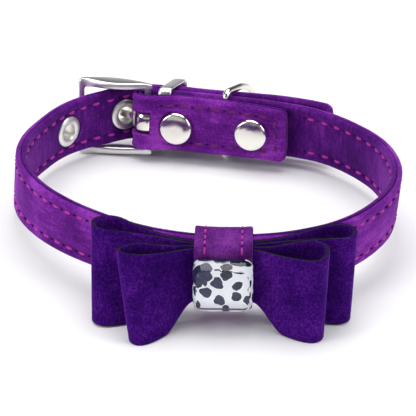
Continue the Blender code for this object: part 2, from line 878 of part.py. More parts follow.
def ribbon_grid(rows, span, depth, leans, layer_middle):
    """Rows of points across the ribbon, round a whole closed loop on both sides of the knot."""
    knot = RING.frame(knot_place())
    face = strap_face_points()
    half_span = span / 2
    half_band = BAND_WIDTH / 2
    yaw = math.tan(math.radians(BOW_YAW))
    wrap = (STRAP_WIDTH - SEAT_GAP) / 2
    right = [Vector(row) for row in rows]
    loop = right + [Vector((-row.x, row.y, row.z)) for row in reversed(right[1:])]
    closing = [loop[-1]] + loop + [loop[0], loop[1]]
    grid = []
    for k in range(len(loop)):
        for step in range(2):
            across, layer, belly = between(*closing[k:k + 4], step / 2)
            across *= half_span
            reach = abs(across)
            side = math.copysign(1.0, across)
            forward, inward, drawn = leans[0] if across < 0 else leans[1]
            opened = smooth((reach - half_band) / (half_span * RIBBON_OPENING))
            spread = smooth((reach - half_band) / (half_span - half_band))
            beyond = across - max(-half_band, min(half_band, across))
            out = layer_middle + layer * RIBBON_PITCH / 2 + belly * depth
            out += sag(side * min(reach, half_band)) + yaw * beyond
            out = max(out, strap_front(face, across) + SEAT_GAP + RIBBON_THICK / 2)
            top = wrap + RIBBON_TOP_RISE * spread
            low = -wrap - (RIBBON_WIDTH - 2 * wrap - RIBBON_TOP_RISE) * opened
            line = []
            for row in range(RIBBON_ROWS):
                share = row / (RIBBON_ROWS - 1)
                place = across - side * inward * spread * share
                lean = forward * share + drawn * (1 - share) * (1 - layer) / 2
                line.append(knot.at(-place, out + lean * spread, top + (low - top) * share))
            grid.append(line)
    return grid


def ribbon_mesh(grid):
    """A cloth strip of even thickness round a closed grid of points."""
    count = len(grid)
    rings = []
    for k in range(count):
        face = []
        back = []
        for row, point in enumerate(grid[k]):
            travel = grid[(k + 1) % count][row] - grid[k - 1][row]
            across = grid[k][min(row + 1, len(grid[k]) - 1)] - grid[k][max(row - 1, 0)]
            normal = travel.cross(across).normalized() * (RIBBON_THICK / 2)
            face.append(point + normal)
            back.append(point - normal)
        rings.append(face + back[::-1])
    return loft(rings, closed=True)


def make_bow(root):
    velvet = bpy.data.materials["velvet_ribbon"]
    rear_middle = HALF_STRAP + SEAT_GAP + RIBBON_PITCH - SEAT_GAP / 2
    front_middle = rear_middle + 2 * RIBBON_PITCH
    rear = ribbon_grid(REAR_LOOP_ROWS, REAR_SPAN, REAR_LOOP_DEPTH, REAR_LEANS, rear_middle)
    front = ribbon_grid(FRONT_LOOP_ROWS, FRONT_SPAN, FRONT_LOOP_DEPTH, FRONT_LEANS, front_middle)
    add_object("bow_rear_ribbon", ribbon_mesh(rear), velvet, root, 40)
    add_object("bow_front_ribbon", ribbon_mesh(front), velvet, root, 40)


def make_knot_band(root):
    """A suede band round the strap and both ribbons, following the strap's curve."""
    low = -(HALF_STRAP + SEAT_GAP)
    tall = STRAP_WIDTH / 2 + SEAT_GAP
    inner = rounded_loop(low, STACK_FRONT, tall, BAND_CORNER - BAND_THICK, 3)
    outer = rounded_loop(low - BAND_THICK, STACK_FRONT + BAND_THICK, tall + BAND_THICK, BAND_CORNER, 3)
    knot = RING.frame(knot_place())
    acrosses = [BAND_WIDTH / 2 * share for share in (-1.0, -0.5, 0.0, 0.5, 1.0)]
    rings = []
    for (in_out, in_up), (out_out, out_up) in zip(inner, outer):
        near = [knot.at(-across, in_out + sag(across), in_up) for across in acrosses]
        far = [knot.at(-across, out_out + sag(across), out_up) for across in acrosses]
        rings.append(near + far[::-1])
    add_object("knot_band", loft(rings, closed=True), bpy.data.materials["suede_face"], root, 40)


def stone_outline(inset):
    """Along and up positions round a rectangle with cut corners."""
    half_along = STONE_WIDTH / 2 - inset
    half_up = STONE_HEIGHT / 2 - inset
    corner = STONE_CORNER
    rows = []
    middles = (
        (half_along - corner, half_up - corner, 0), (corner - half_along, half_up - corner, 90),
        (corner - half_along, corner - half_up, 180), (half_along - corner, corner - half_up, 270),
    )
    for along, up, first in middles:
        for turn in (first, first + 30, first + 60, first + 90):
            angle = math.radians(turn)
            rows.append((along + corner * math.cos(angle), up + corner * math.sin(angle)))
    return rows


def make_stone(root):
    """A glass stone with a flat back, a girdle, a bevelled crown and a table."""
    knot = RING.frame(knot_place())
    back = STACK_FRONT + BAND_THICK + SEAT_GAP
    layers = (
        (STONE_TABLE_INSET / 3, back),
        (0.0, back + STONE_GIRDLE / 3),
        (0.0, back + STONE_GIRDLE),
        (STONE_TABLE_INSET / 3, back + (STONE_GIRDLE + STONE_THICK) / 2),
        (STONE_TABLE_INSET, back + STONE_THICK),
    )
    rings = []
    for inset, out in layers:
        rings.append([knot.at(along, out, up) for along, up in stone_outline(inset)])
    add_object("glass_stone", loft(rings), bpy.data.materials["clear_glass"], root)


# Setting down
def solid_objects():
    return [thing for thing in bpy.data.objects if thing.type == "MESH" and not thing.hide_render]


def density_of(thing):
    name = thing.data.materials[0].name
    if name == "nickel":
        return METAL_DENSITY
    return GLASS_DENSITY if name == "clear_glass" else SUEDE_DENSITY


def weigh():
    """All corners of the finished solids, and the place of their mass centre."""
    bpy.context.view_layer.update()
    graph = bpy.context.evaluated_depsgraph_get()
    corners = []
    total = 0.0
    moment = np.zeros(3)
    for thing in solid_objects():
        finished = thing.evaluated_get(graph)
        data = finished.to_mesh()
        data.calc_loop_triangles()
        points = np.array([finished.matrix_world @ vertex.co for vertex in data.vertices])
        triangles = points[np.array([triangle.vertices for triangle in data.loop_triangles])]
        volumes = np.einsum("ij,ij->i", triangles[:, 0], np.cross(triangles[:, 1], triangles[:, 2])) / 6
        weight = density_of(thing)
        total += weight * volumes.sum()
        moment += weight * (volumes[:, None] * triangles.sum(axis=1) / 4).sum(axis=0)
        corners.append(points)
        finished.to_mesh_clear()
    return np.concatenate(corners), Vector(moment / total)


def resting_normal(corners, centre):
    """Outward normal of the hull face that the collar stands on, its mass centre above it."""
    hull = bmesh.new()
    for corner in corners:
        hull.verts.new(corner)
    bmesh.ops.convex_hull(hull, input=hull.verts)
    best = Vector((0, 0, -1))
    lowest = 0.0
    for face in hull.faces:
        normal = face.normal
        if normal.dot(face.calc_center_median() - centre) < 0:
            normal = -normal
        if normal.z >= lowest:
            continue
        foot = centre + normal * normal.dot(face.verts[0].co - centre)
        sides = []
        for k, vertex in enumerate(face.verts):
            after = face.verts[(k + 1) % len(face.verts)].co
            sides.append((after - vertex.co).cross(foot - vertex.co).dot(normal))
        if all(side >= 0 for side in sides) or all(side <= 0 for side in sides):
            best = normal.copy()
            lowest = normal.z
    hull.free()
    return best


def set_down(root):
    """Turn the collar so that it stands as it rests, its box centred on the origin."""
    corners, centre = weigh()
    normal = resting_normal(corners, centre)
    turn = normal.rotation_difference(Vector((0, 0, -1)))
    root.rotation_mode = "QUATERNION"
    root.rotation_quaternion = turn
    turned = corners @ np.array(turn.to_matrix()).T
    low = turned.min(axis=0)
    high = turned.max(axis=0)
    root.location = (-(low[0] + high[0]) / 2, -(low[1] + high[1]) / 2, -low[2])


def main():
    clear_scene()
    make_materials()
    root = bpy.data.objects.new("collar", None)
    bpy.context.collection.objects.link(root)
    make_strap(root)
    for k, place in enumerate(eyelet_places()):
        make_eyelet(f"eyelet_{k + 1}", place, root)
    for k, (place, high) in enumerate(RIVET_ROWS):
        make_rivet(f"rivet_{k + 1}", place, high, root)
    make_buckle_frame(root)
    make_prong(root)
    make_keeper(root)
    make_leash_ring(root)
    make_bow(root)
    make_knot_band(root)
    make_stone(root)
    set_down(root)


main()
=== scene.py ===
"""A pet bow tie collar as it looks: brushed suede, pink stitches, velvet loops, plated hardware, glass.

Metres, +Z up. Every piece is made in the collar's own frame, the strap's middle plane at zero, and
then set down with SETTLE, the way the solids were.
"""
import math

import bmesh
import bpy
import numpy as np
from mathutils import Matrix, Quaternion, Vector


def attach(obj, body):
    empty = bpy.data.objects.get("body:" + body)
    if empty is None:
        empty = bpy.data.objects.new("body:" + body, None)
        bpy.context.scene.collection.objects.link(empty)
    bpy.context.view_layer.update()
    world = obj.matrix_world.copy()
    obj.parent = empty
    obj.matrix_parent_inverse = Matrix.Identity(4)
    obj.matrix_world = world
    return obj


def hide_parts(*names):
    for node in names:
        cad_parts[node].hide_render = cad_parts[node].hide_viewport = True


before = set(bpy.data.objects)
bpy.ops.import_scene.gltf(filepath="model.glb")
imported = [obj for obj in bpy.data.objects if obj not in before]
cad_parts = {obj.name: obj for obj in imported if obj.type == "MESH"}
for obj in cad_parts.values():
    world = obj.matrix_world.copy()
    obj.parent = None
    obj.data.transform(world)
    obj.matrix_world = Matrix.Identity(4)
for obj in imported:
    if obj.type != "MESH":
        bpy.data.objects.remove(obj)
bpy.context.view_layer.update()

# Where the solids were set down
SETTLE = (
    Matrix.Translation((0.0004271, 0.0019318, 0.0131853))
    @ Quaternion((0.9997129, -0.0239300, 0.0012062, 0.0)).to_matrix().to_4x4()
)

# Strap
SEAT_GAP = 0.0003
STRAP_WIDTH = 0.016
PLY_THICK = 0.0014
EDGE_ROUND = 0.0010
EDGE_SOFTEN = 0.0002
NAP_WAVER = 0.00006
END_CORNER = 0.0020
STATION_STEP = 0.0008
FOLD_TURNS = 22
STRAP_THICK = 2 * PLY_THICK + SEAT_GAP
HALF_STRAP = STRAP_THICK / 2

# Ring round the neck and the lengths along the strap from the buckle bar
RING_RADIUS = 0.050
BAR_HEADING = 110.0
KNOT_HEADING = 275.6
INNER_LEG = 0.0415
TAIL_LENGTH = 0.0515
LEG_GAP = 0.0012
TAIL_GAP = 0.0012
FOLD_TAPER = 0.0095
TAIL_RISE = 0.0135
TAIL_RISE_END = 0.0005

# Buckle
BAR_DIAMETER = 0.0020
FRAME_LENGTH = 0.0190
FRAME_ARCH = 0.0017
FRAME_PLATE = 0.0018
FRAME_BAR_WIDTH = 0.0018
FRAME_BELLY = 0.0018
FRAME_UPPER_BELLY = 0.0032
FRAME_TALL_FRONT = 0.0228
FRAME_TALL_BAR = 0.0214
FRAME_FLARE = 0.7
FRAME_SIDE_GAP = 0.0007
FRAME_CORNER = 0.0014
SLOT_WIDTH = 0.0066
PRONG_THICK = 0.0013
PRONG_WIDTH = 0.0022
PRONG_ROOT_WIDTH = 0.0060
PRONG_ROOT_THICK = 0.0028
PRONG_RISE = 0.0020
PRONG_OVERHANG = 0.0014
PRONG_TAPER = 0.35
PRONG_ROOT_EDGE = 0.0004
BAR_LET_IN = 0.0008
FOLD_RADIUS = BAR_DIAMETER / 2 + SEAT_GAP + HALF_STRAP
FOLD_GAP = BAR_DIAMETER + 2 * SEAT_GAP
TAIL_OFFSET = STRAP_THICK + TAIL_GAP

# Eyelets and rivets
EYELET_COUNT = 4
EYELET_PITCH = 0.0195
EYELETS_BEFORE_BAR = 2
HOLE_TO_BAR = 0.0073
EYELET_FLANGE = 0.0090
EYELET_BARREL = 0.0052
EYELET_BORE = 0.0045
EYELET_RIM = 0.0007
EYELET_SINK = 0.0005
EYELET_ROOM = 0.00096
EYELET_TUCK = 0.0001
EYELET_BORE_TUCK = 0.00008
RIVET_ROWS = (
    # distance along from the bar, height over the strap's middle
    (0.0093, -0.0011),
    (0.0310, -0.0003),
)
RIVET_DOME = 0.0094
RIVET_DOME_RISE = 0.0017
RIVET_CROWN = 0.82
RIVET_CROWN_DROP = 0.00055
RIVET_POST = 0.0022
RIVET_BACK = 0.0064
RIVET_BACK_THICK = 0.0006
RIVET_BACK_SINK = 0.0005
RIVET_BACK_EDGE = 0.0002

# Keeper loop and leash ring
KEEPER_PLACE = 0.0048
KEEPER_WIDTH = 0.0036
KEEPER_THICK = 0.0009
KEEPER_CORNER = 0.0013
KEEPER_LEAN = 15.0
KEEPER_ROOM = 0.0009
KEEPER_SIDE_GAP = 0.0005
RING_PLACE = 0.0226
RING_WIRE = 0.0020
RING_DEPTH = 0.0162
RING_SIDE_GAP = 0.0007
RING_CORNER = 0.0018
RING_LEAN = 22.0

# Bow, knot band and stone
RIBBON_WIDTH = 0.0254
RIBBON_THICK = 0.0010
RIBBON_LIP = 0.00012
RIBBON_SWELL = 0.0004
RIBBON_WAVER = 0.00012
RIBBON_TOP_RISE = 0.0030
RIBBON_OPENING = 0.34
RIBBON_PITCH = RIBBON_THICK + SEAT_GAP
REAR_SPAN = 0.0666
FRONT_SPAN = 0.0525
REAR_LOOP_DEPTH = 0.0075
FRONT_LOOP_DEPTH = 0.0090
BOW_YAW = 3.0
BAND_WIDTH = 0.0148
BAND_THICK = 0.0015
BAND_CORNER = 0.0024
BAND_EDGE = 0.00055
BAND_CHANNEL_DEPTH = 0.00022
BAND_CHANNEL_WIDTH = 0.0006
STONE_WIDTH = 0.0152
STONE_HEIGHT = 0.0140
STONE_THICK = 0.0045
STONE_GIRDLE = 0.0020
STONE_TABLE_INSET = 0.0010
STONE_CORNER = 0.0024
STONE_CLEAR = 0.0006
CARD_THICK = 0.0003
STACK_FRONT = HALF_STRAP + SEAT_GAP + 4 * RIBBON_PITCH
REAR_LEANS = (
    # bottom edge forward, bottom edge inward, back layer's top forward; the loop at -X first
    (0.0062, 0.0, 0.0),
    (0.0010, 0.0011, 0.0),
)
FRONT_LEANS = (
    # bottom edge forward, bottom edge inward, back layer's top forward; the loop at -X first
    (0.0034, 0.0029, 0.0024),
    (-0.0010, 0.0010, -0.0026),
)

# Stitches
STITCH_PITCH = 0.0046
STITCH_LENGTH = 0.0023
STITCH_RADIUS = 0.00044
HOLE_LENGTH = 0.0009
HOLE_RADIUS = 0.00024
STITCH_ROW = 0.0053
STITCH_END = 0.0031
ROW_START = 0.003
NECK_ROW_END = 0.004
LEG_ROW_START = 0.006
COLUMN_STEP = 0.0036
CHANNEL_DEPTH = 0.00050
CHANNEL_WIDTH = 0.00105
BAND_STITCH_PITCH = 0.0027
BAND_STITCH_LENGTH = 0.0019
BAND_STITCH_RADIUS = 0.00028
BAND_STITCH_ROW = 0.0047
BAND_STITCH_SINK = 0.00015
BAND_HOLE_SINK = 0.00008

# Floor, camera and lights
FLOOR_HALF = 3.0
FLOOR_DROP = 0.0001
CAMERA_TARGET = Vector((0.00056, -0.00031, 0.00823))
CAMERA_RISE = 29.73
CAMERA_DISTANCE = 0.700
CAMERA_LENS = 224.1
SKY = ((0.0, 0.74), (0.24, 0.55), (0.40, 0.07), (0.80, 0.08), (0.90, 0.85))
LIGHT_TARGET = Vector((0, 0, 0.01))
LIGHTS = (
    # name, width, height, power, place
    ("top", 0.9, 0.9, 7.5, (0.0, 0.10, 0.90)),
    ("left", 0.4, 0.5, 3.4, (-0.75, -0.40, 0.45)),
    ("right", 0.4, 0.5, 2.6, (0.75, -0.30, 0.45)),
)

RING_ROWS = (
    # radius as a share of RING_RADIUS, outward lean of the strap's top edge in degrees
    (1.002, 4.0), (0.984, 1.0), (0.946, -2.0), (0.912, -3.0), (0.862, 0.0), (0.832, 5.0),
    (0.852, 8.0), (0.938, 7.0), (1.060, 3.0), (1.090, -2.0), (1.066, -4.0), (1.048, -4.0),
    (1.004, -3.0), (0.934, -1.0), (0.870, 1.0), (0.829, 3.0), (0.818, 4.0), (0.828, 4.0),
    (0.847, 5.0), (0.877, 5.0), (0.918, 6.0), (0.956, 8.0), (0.980, 8.0), (1.000, 7.0),
)
REAR_LOOP_ROWS = (
    # reach as a share of half the span, layer from back -1 to front 1, depth as a share of the loop's
    (0.00, -1.0, 0.00), (0.12, -1.0, 0.00), (0.24, -1.0, 0.00), (0.42, -1.0, -0.15),
    (0.60, -1.0, -0.40), (0.78, -1.0, -0.66), (0.90, -1.0, -0.70), (0.97, -0.7, -0.56),
    (1.00, 0.0, -0.34), (0.975, 0.7, -0.12), (0.91, 1.0, 0.00), (0.80, 1.0, 0.00),
    (0.60, 1.0, -0.08), (0.42, 1.0, -0.10), (0.24, 1.0, 0.00), (0.12, 1.0, 0.00),
)
FRONT_LOOP_ROWS = (
    # reach as a share of half the span, layer from back -1 to front 1, depth as a share of the loop's
    (0.00, -1.0, 0.00), (0.15, -1.0, 0.00), (0.31, -1.0, 0.00), (0.46, -1.0, 0.09),
    (0.62, -1.0, 0.15), (0.78, -1.0, 0.20), (0.90, -1.0, 0.34), (0.98, -0.6, 0.52),
    (1.00, 0.0, 0.68), (0.97, 0.6, 0.84), (0.90, 1.0, 0.92), (0.78, 1.0, 0.84),
    (0.62, 1.0, 0.58), (0.46, 1.0, 0.26), (0.31, 1.0, 0.02), (0.15, 1.0, 0.00),
)


# Shader maths
def set_stops(ramp, stops):
    while len(ramp.elements) < len(stops):
        ramp.elements.new(0.5)
    for element, (place, colour) in zip(ramp.elements, stops):
        element.position = place
        element.color = (*colour, 1.0)


class Value:
    """A shader socket: sums on it add Math nodes to its finish."""

    def __init__(self, finish, socket):
        self.finish = finish
        self.socket = socket

    def math(self, operation, first, second):
        return self.finish.node("ShaderNodeMath", {"operation": operation}, {0: first, 1: second})

    def __add__(self, other):
        return self.math("ADD", self, other)

    __radd__ = __add__

    def __rsub__(self, other):
        return self.math("SUBTRACT", other, self)

    def __mul__(self, other):
        return self.math("MULTIPLY", self, other)

    __rmul__ = __mul__

    def __lt__(self, other):
        return self.math("LESS_THAN", self, other)


class Finish:
    """One material and its nodes."""

    def __init__(self, name):
        self.material = bpy.data.materials.new(name)
        self.material.use_nodes = True
        self.tree = self.material.node_tree
        self.shader = self.tree.nodes["Principled BSDF"]

    def feed(self, socket, value):
        if isinstance(value, Value):
            self.tree.links.new(value.socket, socket)
        elif hasattr(socket.default_value, "__len__") and len(socket.default_value) == 4 and len(value) == 3:
            socket.default_value = (*value, 1.0)
        else:
            socket.default_value = value

    def node(self, kind, settings=None, sockets=None, output=0):
        """A node: its settings first, then the values or links of its sockets."""
        made = self.tree.nodes.new(kind)
        for key, value in (settings or {}).items():
            if key == "stops":
                set_stops(made.color_ramp, value)
            else:
                setattr(made, key, value)
        for key, value in (sockets or {}).items():
            self.feed(made.inputs[key], value)
        return Value(self, made.outputs[output])

    def set(self, **values):
        """Values or links of the shader's own sockets; spaces in their names are underscores."""
        for key, value in values.items():
            self.feed(self.shader.inputs[key.replace("_", " ")], value)

    def place(self):
        return self.node("ShaderNodeTexCoord", output=3)

    def cloth_place(self):
        return self.node("ShaderNodeTexCoord", output=2)

    def stretched(self, vector, scale):
        return self.node("ShaderNodeMapping", None, {"Vector": vector, "Scale": scale})

    def noise(self, vector, scale, detail=2.0, roughness=0.5):
        sockets = {"Vector": vector, "Scale": scale, "Detail": detail, "Roughness": roughness}
        return self.node("ShaderNodeTexNoise", None, sockets)

    def ramp(self, share, stops):
        return self.node("ShaderNodeValToRGB", {"stops": stops}, {0: share})

    def mix(self, first, second, share):
        return self.node("ShaderNodeMix", {"data_type": "RGBA"}, {0: share, 6: first, 7: second}, 2)

    def bump(self, height, distance, strength=1.0):
        self.set(Normal=self.node(
            "ShaderNodeBump", None, {"Height": height, "Distance": distance, "Strength": strength}
        ))


def suede(name, deep, middle, bright, brushed, streaky):
    """Split leather with a brushed nap: clouds where it was stroked, grain, and streaks that run the
    way it was brushed."""
    finish = Finish(name)
    place = finish.place()
    cloud = finish.noise(place, 70.0, 4.0, 0.6)
    grain = finish.noise(place, 1900.0, 4.0, 0.7)
    streak = finish.noise(finish.stretched(finish.cloth_place(), brushed), 1.0, 3.0, 0.6)
    tone = cloud * (0.66 - streaky) + grain * 0.34 + streak * streaky
    finish.set(
        Base_Color=finish.ramp(tone, ((0.38, deep), (0.50, middle), (0.61, bright))),
        Roughness=0.95,
        Specular_IOR_Level=0.06,
        Sheen_Weight=0.35,
        Sheen_Roughness=0.40,
        Sheen_Tint=(0.74, 0.20, 1.0),
    )
    finish.bump(grain * 0.7 + streak * streaky + cloud * 0.3, 0.00016, 0.9)
    return finish.material


def velvet(name, deep, middle, bright):
    """Short even pile with faint pressed patches."""
    finish = Finish(name)
    place = finish.place()
    cloud = finish.noise(place, 110.0, 3.0, 0.5)
    pile = finish.noise(place, 3600.0, 2.0, 0.7)
    fleck = finish.noise(place, 1300.0, 4.0, 0.65)
    tone = cloud * 0.26 + pile * 0.34 + fleck * 0.40
    finish.set(
        Base_Color=finish.ramp(tone, ((0.36, deep), (0.50, middle), (0.64, bright))),
        Roughness=0.9,
        Specular_IOR_Level=0.04,
        Sheen_Weight=0.45,
        Sheen_Roughness=0.30,
        Sheen_Tint=(0.46, 0.08, 1.0),
    )
    finish.bump(pile * 0.4 + fleck * 0.6, 0.00012, 0.9)
    return finish.material


def ribbon_core(name):
    """The dark backing seen along the ribbon's cut edges, with a few pale fibres."""
    finish = Finish(name)
    place = finish.place()
    fibre = finish.noise(place, 3600.0, 3.0, 0.7)
    stops = ((0.40, (0.003, 0.002, 0.008)), (0.58, (0.012, 0.009, 0.026)), (0.74, (0.085, 0.075, 0.12)))
    finish.set(Base_Color=finish.ramp(fibre, stops), Roughness=0.85, Specular_IOR_Level=0.2)
    finish.bump(fibre, 0.0001, 0.8)
    return finish.material


def thread(name, dark, bright):
    """Twisted thread: slanting strands, with painted shade between them."""
    finish = Finish(name)
    place = finish.cloth_place()
    sockets = {"Vector": place, "Scale": 1.0, "Distortion": 1.2, "Detail": 1.0}
    twist = finish.node("ShaderNodeTexWave", {"bands_direction": "DIAGONAL"}, sockets, 1)
    fuzz = finish.noise(finish.place(), 5200.0, 2.0, 0.6)
    tone = twist * 0.65 + fuzz * 0.35
    finish.set(
        Base_Color=finish.ramp(tone, ((0.25, dark), (0.62, bright))),
        Roughness=0.55,
        Specular_IOR_Level=0.35,
        Sheen_Weight=0.1,
        Sheen_Tint=(1.0, 0.3, 0.8),
    )
    finish.bump(twist, 0.0001, 0.7)
    return finish.material


def plated(name, shade, tone, dull):
    """Polished nickel plate with faint wipe marks and a little haze, rougher where it is dull."""
    finish = Finish(name)
    place = finish.place()
    haze = finish.noise(place, 260.0, 3.0, 0.6)
    wipes = finish.noise(finish.stretched(place, (300.0, 2600.0, 1500.0)), 1.0, 3.0, 0.6)
    finish.set(
        Base_Color=finish.mix(shade, tone, haze),
        Metallic=1.0,
        Roughness=wipes * 0.10 + haze * 0.10 + (0.05 + dull),
    )
    finish.bump(wipes * 0.4 + haze * 0.6, 0.00002, 0.35)
    return finish.material


def clear_glass(name):
    """Cut glass, a touch cloudy in places."""
    finish = Finish(name)
    haze = finish.noise(finish.place(), 500.0, 3.0, 0.6)
    finish.set(
        Base_Color=finish.mix((0.97, 0.98, 1.0), (0.90, 0.93, 0.97), haze),
        Roughness=haze * 0.03,
        IOR=1.5,
        Transmission_Weight=1.0,
    )
    return finish.material


def spotted_card(name):
    """White foil under the stone, printed with slate and near-black spots. The spots grow towards the top as
    painted dark refraction of the stone's upper facets, and the paper has a painted glow.
    """
    finish = Finish(name)
    place = finish.cloth_place()
    bend = finish.node("ShaderNodeTexNoise", None, {"Vector": place, "Scale": 330.0, "Detail": 1.5}, 1)
    sway = finish.node(
        "ShaderNodeVectorMath", {"operation": "MULTIPLY_ADD"},
        {0: bend, 1: (0.0026, 0.0026, 0.0), 2: place},
    )
    flat = {"voronoi_dimensions": "2D"}
    sockets = {"Vector": sway, "Scale": 265.0, "Randomness": 0.85}
    distance = finish.node("ShaderNodeTexVoronoi", flat, sockets)
    cell = finish.node("ShaderNodeTexVoronoi", flat, sockets, 1)
    pick = finish.node("ShaderNodeSeparateColor", None, {0: cell})
    height = finish.node("ShaderNodeSeparateXYZ", None, {0: place}, 1)
    # Painted dark refraction: the spots grow towards the card's top, standing in for the dark look of the
    # stone's upper facets.
    painted_top_refraction = finish.node("ShaderNodeMapRange", None, {0: height, 1: 0.0018, 2: 0.0050, 3: 0.0, 4: 0.24})
    spot = distance < (pick * 0.17 + 0.29 + painted_top_refraction)
    grain = finish.noise(place, 1800.0, 3.0, 0.6)
    ink = finish.ramp(pick, ((0.35, (0.001, 0.001, 0.006)), (0.60, (0.022, 0.025, 0.085))))
    ink = finish.mix(ink, (0.034, 0.040, 0.130), grain * 0.5)
    paper = finish.mix((0.99, 0.99, 1.0), (0.93, 0.94, 0.98), grain)
    # Painted glow: the paper emits a faint bluish-white light of its own, painted light that keeps it bright
    # under the glass.
    painted_glow = finish.mix((0.90, 0.92, 1.0), (0.0, 0.0, 0.0), spot)
    finish.set(
        Base_Color=finish.mix(paper, ink, spot),
        Metallic=0.6 - spot * 0.6,
        Roughness=0.45 + grain * 0.1,
        Specular_IOR_Level=0.1,
        Emission_Color=painted_glow,
        Emission_Strength=0.18,
    )
    return finish.material


def pale_floor(name):
    finish = Finish(name)
    tooth = finish.noise(finish.place(), 40.0, 2.0, 0.5)
    finish.set(
        Base_Color=finish.mix((0.93, 0.93, 0.93), (0.90, 0.90, 0.90), tooth),
        Roughness=0.9,
        Specular_IOR_Level=0.1,
    )
    return finish.material


# Finishes
ALONG = (110.0, 750.0, 1.0)
ACROSS = (900.0, 150.0, 1.0)
SUEDE_FACE = suede(
    "suede_face_look", (0.048, 0.003, 0.104), (0.145, 0.014, 0.258), (0.320, 0.048, 0.460), ALONG, 0.20
)
# The lining is painted darker than the face: painted shade for the inside of the ring.
SHADED_LINING_SUEDE = suede(
    "shaded_suede_lining_look", (0.026, 0.0015, 0.066), (0.069, 0.006, 0.152), (0.158, 0.021, 0.278), ACROSS, 0.26
)
BAND_SUEDE = suede(
    "band_suede_look", (0.026, 0.002, 0.052), (0.078, 0.009, 0.134), (0.178, 0.031, 0.262), ACROSS, 0.05
)
VELVET = velvet("velvet_look", (0.008, 0.0003, 0.044), (0.033, 0.002, 0.126), (0.115, 0.014, 0.290))
CORE = ribbon_core("ribbon_core_look")
PINK_THREAD = thread("pink_thread_look", (0.140, 0.004, 0.125), (0.700, 0.036, 0.500))
# A darker copy of the pink thread: painted shade for the stitches on the inner leg, inside the ring.
SHADED_PINK_THREAD = thread("shaded_pink_thread_look", (0.050, 0.001, 0.050), (0.210, 0.006, 0.160))
# Darker suede for the marks between stitches: painted shade in the needle holes and dips of the stitch rows.
NEEDLE_HOLE_SHADE = suede(
    "needle_hole_shade_look", (0.028, 0.002, 0.052), (0.048, 0.004, 0.086), (0.070, 0.007, 0.120), ALONG, 0.05
)
NICKEL = plated("nickel_look", (0.76, 0.735, 0.68), (0.92, 0.89, 0.83), 0.0)
EYELET_NICKEL = plated("eyelet_nickel_look", (0.74, 0.73, 0.70), (0.88, 0.87, 0.835), 0.24)
CAST_NICKEL = plated("cast_nickel_look", (0.62, 0.61, 0.62), (0.80, 0.79, 0.79), 0.16)
GLASS = clear_glass("glass_look")
CARD = spotted_card("spotted_card_look")
FLOOR = pale_floor("floor_look")


# Small sums
def smooth(value):
    value = min(1.0, max(0.0, value))
    return value * value * (3 - 2 * value)


def wave(turns):
    return 0.5 + 0.5 * math.cos(2 * math.pi * turns)


def between(before, start, end, after, share):
    """Catmull-Rom value between start and end."""
    return 0.5 * (
        2 * start
        + (end - before) * share
        + (2 * before - 5 * start + 4 * end - after) * share ** 2
        + (3 * start - before - 3 * end + after) * share ** 3
    )


def round_value(rows, column, heading):
    count = len(rows)
    place = (heading % 360.0) / 360.0 * count
    row = int(place)
    picks = [rows[(row + step) % count][column] for step in (-1, 0, 1, 2)]
    return between(*picks, place - row)


def blend(first, second, share):
    return tuple(a + (b - a) * share for a, b in zip(first, second))


def arc(out, up, radius, first, sweep, steps):
    """Positions along an arc about a middle, its angles in degrees."""
    turns = [math.radians(first + sweep * k / steps) for k in range(steps + 1)]
    return [(out + radius * math.cos(turn), up + radius * math.sin(turn)) for turn in turns]


def circle(sides, first=0.0):
    return arc(0, 0, 1, first, 360, sides)[:-1]


def ahead_of(rows, k):
    return rows[min(k + 1, len(rows) - 1)]


def behind(rows, k):
    return rows[max(k - 1, 0)]


def spaced(start, stop, step):
    count = max(1, round(abs(stop - start) / step))
    return [start + (stop - start) * k / count for k in range(count + 1)]


def ripple(seed, *places):
    """A slow, repeatable waver between -1 and 1."""
    total = 0.0
    for k, place in enumerate(places):
        total += math.sin(place * (1.0 + 0.37 * k) + seed) + 0.6 * math.sin(place * 2.3 + seed * 1.7 + k)
    return total / (1.6 * len(places))


class Spot:
    """A place on the collar: its middle, and the directions along, out from the neck and up."""

    def __init__(self, origin, along, out, up):
        self.origin = origin
        self.along = along
        self.out = out
        self.up = up

    def at(self, along, out, up):
        return self.origin + self.along * along + self.out * out + self.up * up

    def moved(self, along, out, up):
        return Spot(self.at(along, out, up), self.along, self.out, self.up)


class NeckRing:
    """The strap's middle line as a closed curve, clockwise from the buckle bar."""

    SAMPLES = 1440

    def __init__(self):
        headings = [BAR_HEADING - 360.0 * k / self.SAMPLES for k in range(self.SAMPLES + 1)]
        radii = [RING_RADIUS * round_value(RING_ROWS, 0, heading) for heading in headings]
        self.headings = np.array(headings)
        self.x = np.array([r * math.cos(math.radians(h)) for r, h in zip(radii, headings)])
        self.y = np.array([r * math.sin(math.radians(h)) for r, h in zip(radii, headings)])
        self.lean = np.array([round_value(RING_ROWS, 1, heading) for heading in headings])
        steps = np.hypot(np.diff(self.x), np.diff(self.y))
        self.run = np.concatenate(([0.0], np.cumsum(steps)))
        self.length = float(self.run[-1])

    def read(self, values, place):
        return float(np.interp(place % self.length, self.run, values))

    def place_of(self, heading):
        turned = (BAR_HEADING - heading) % 360.0
        return float(np.interp(turned, BAR_HEADING - self.headings, self.run))

    def point(self, place):
        return Vector((self.read(self.x, place), self.read(self.y, place), 0))

    def spot(self, place):
        reach = 0.001
        along = (self.point(place + reach) - self.point(place - reach)).normalized()
        level = Vector((-along.y, along.x, 0))
        upright = Vector((0, 0, 1))
        lean = math.radians(self.read(self.lean, place))
        up = upright * math.cos(lean) + level * math.sin(lean)
        out = level * math.cos(lean) - upright * math.sin(lean)
        return Spot(self.point(place), along, out, up)


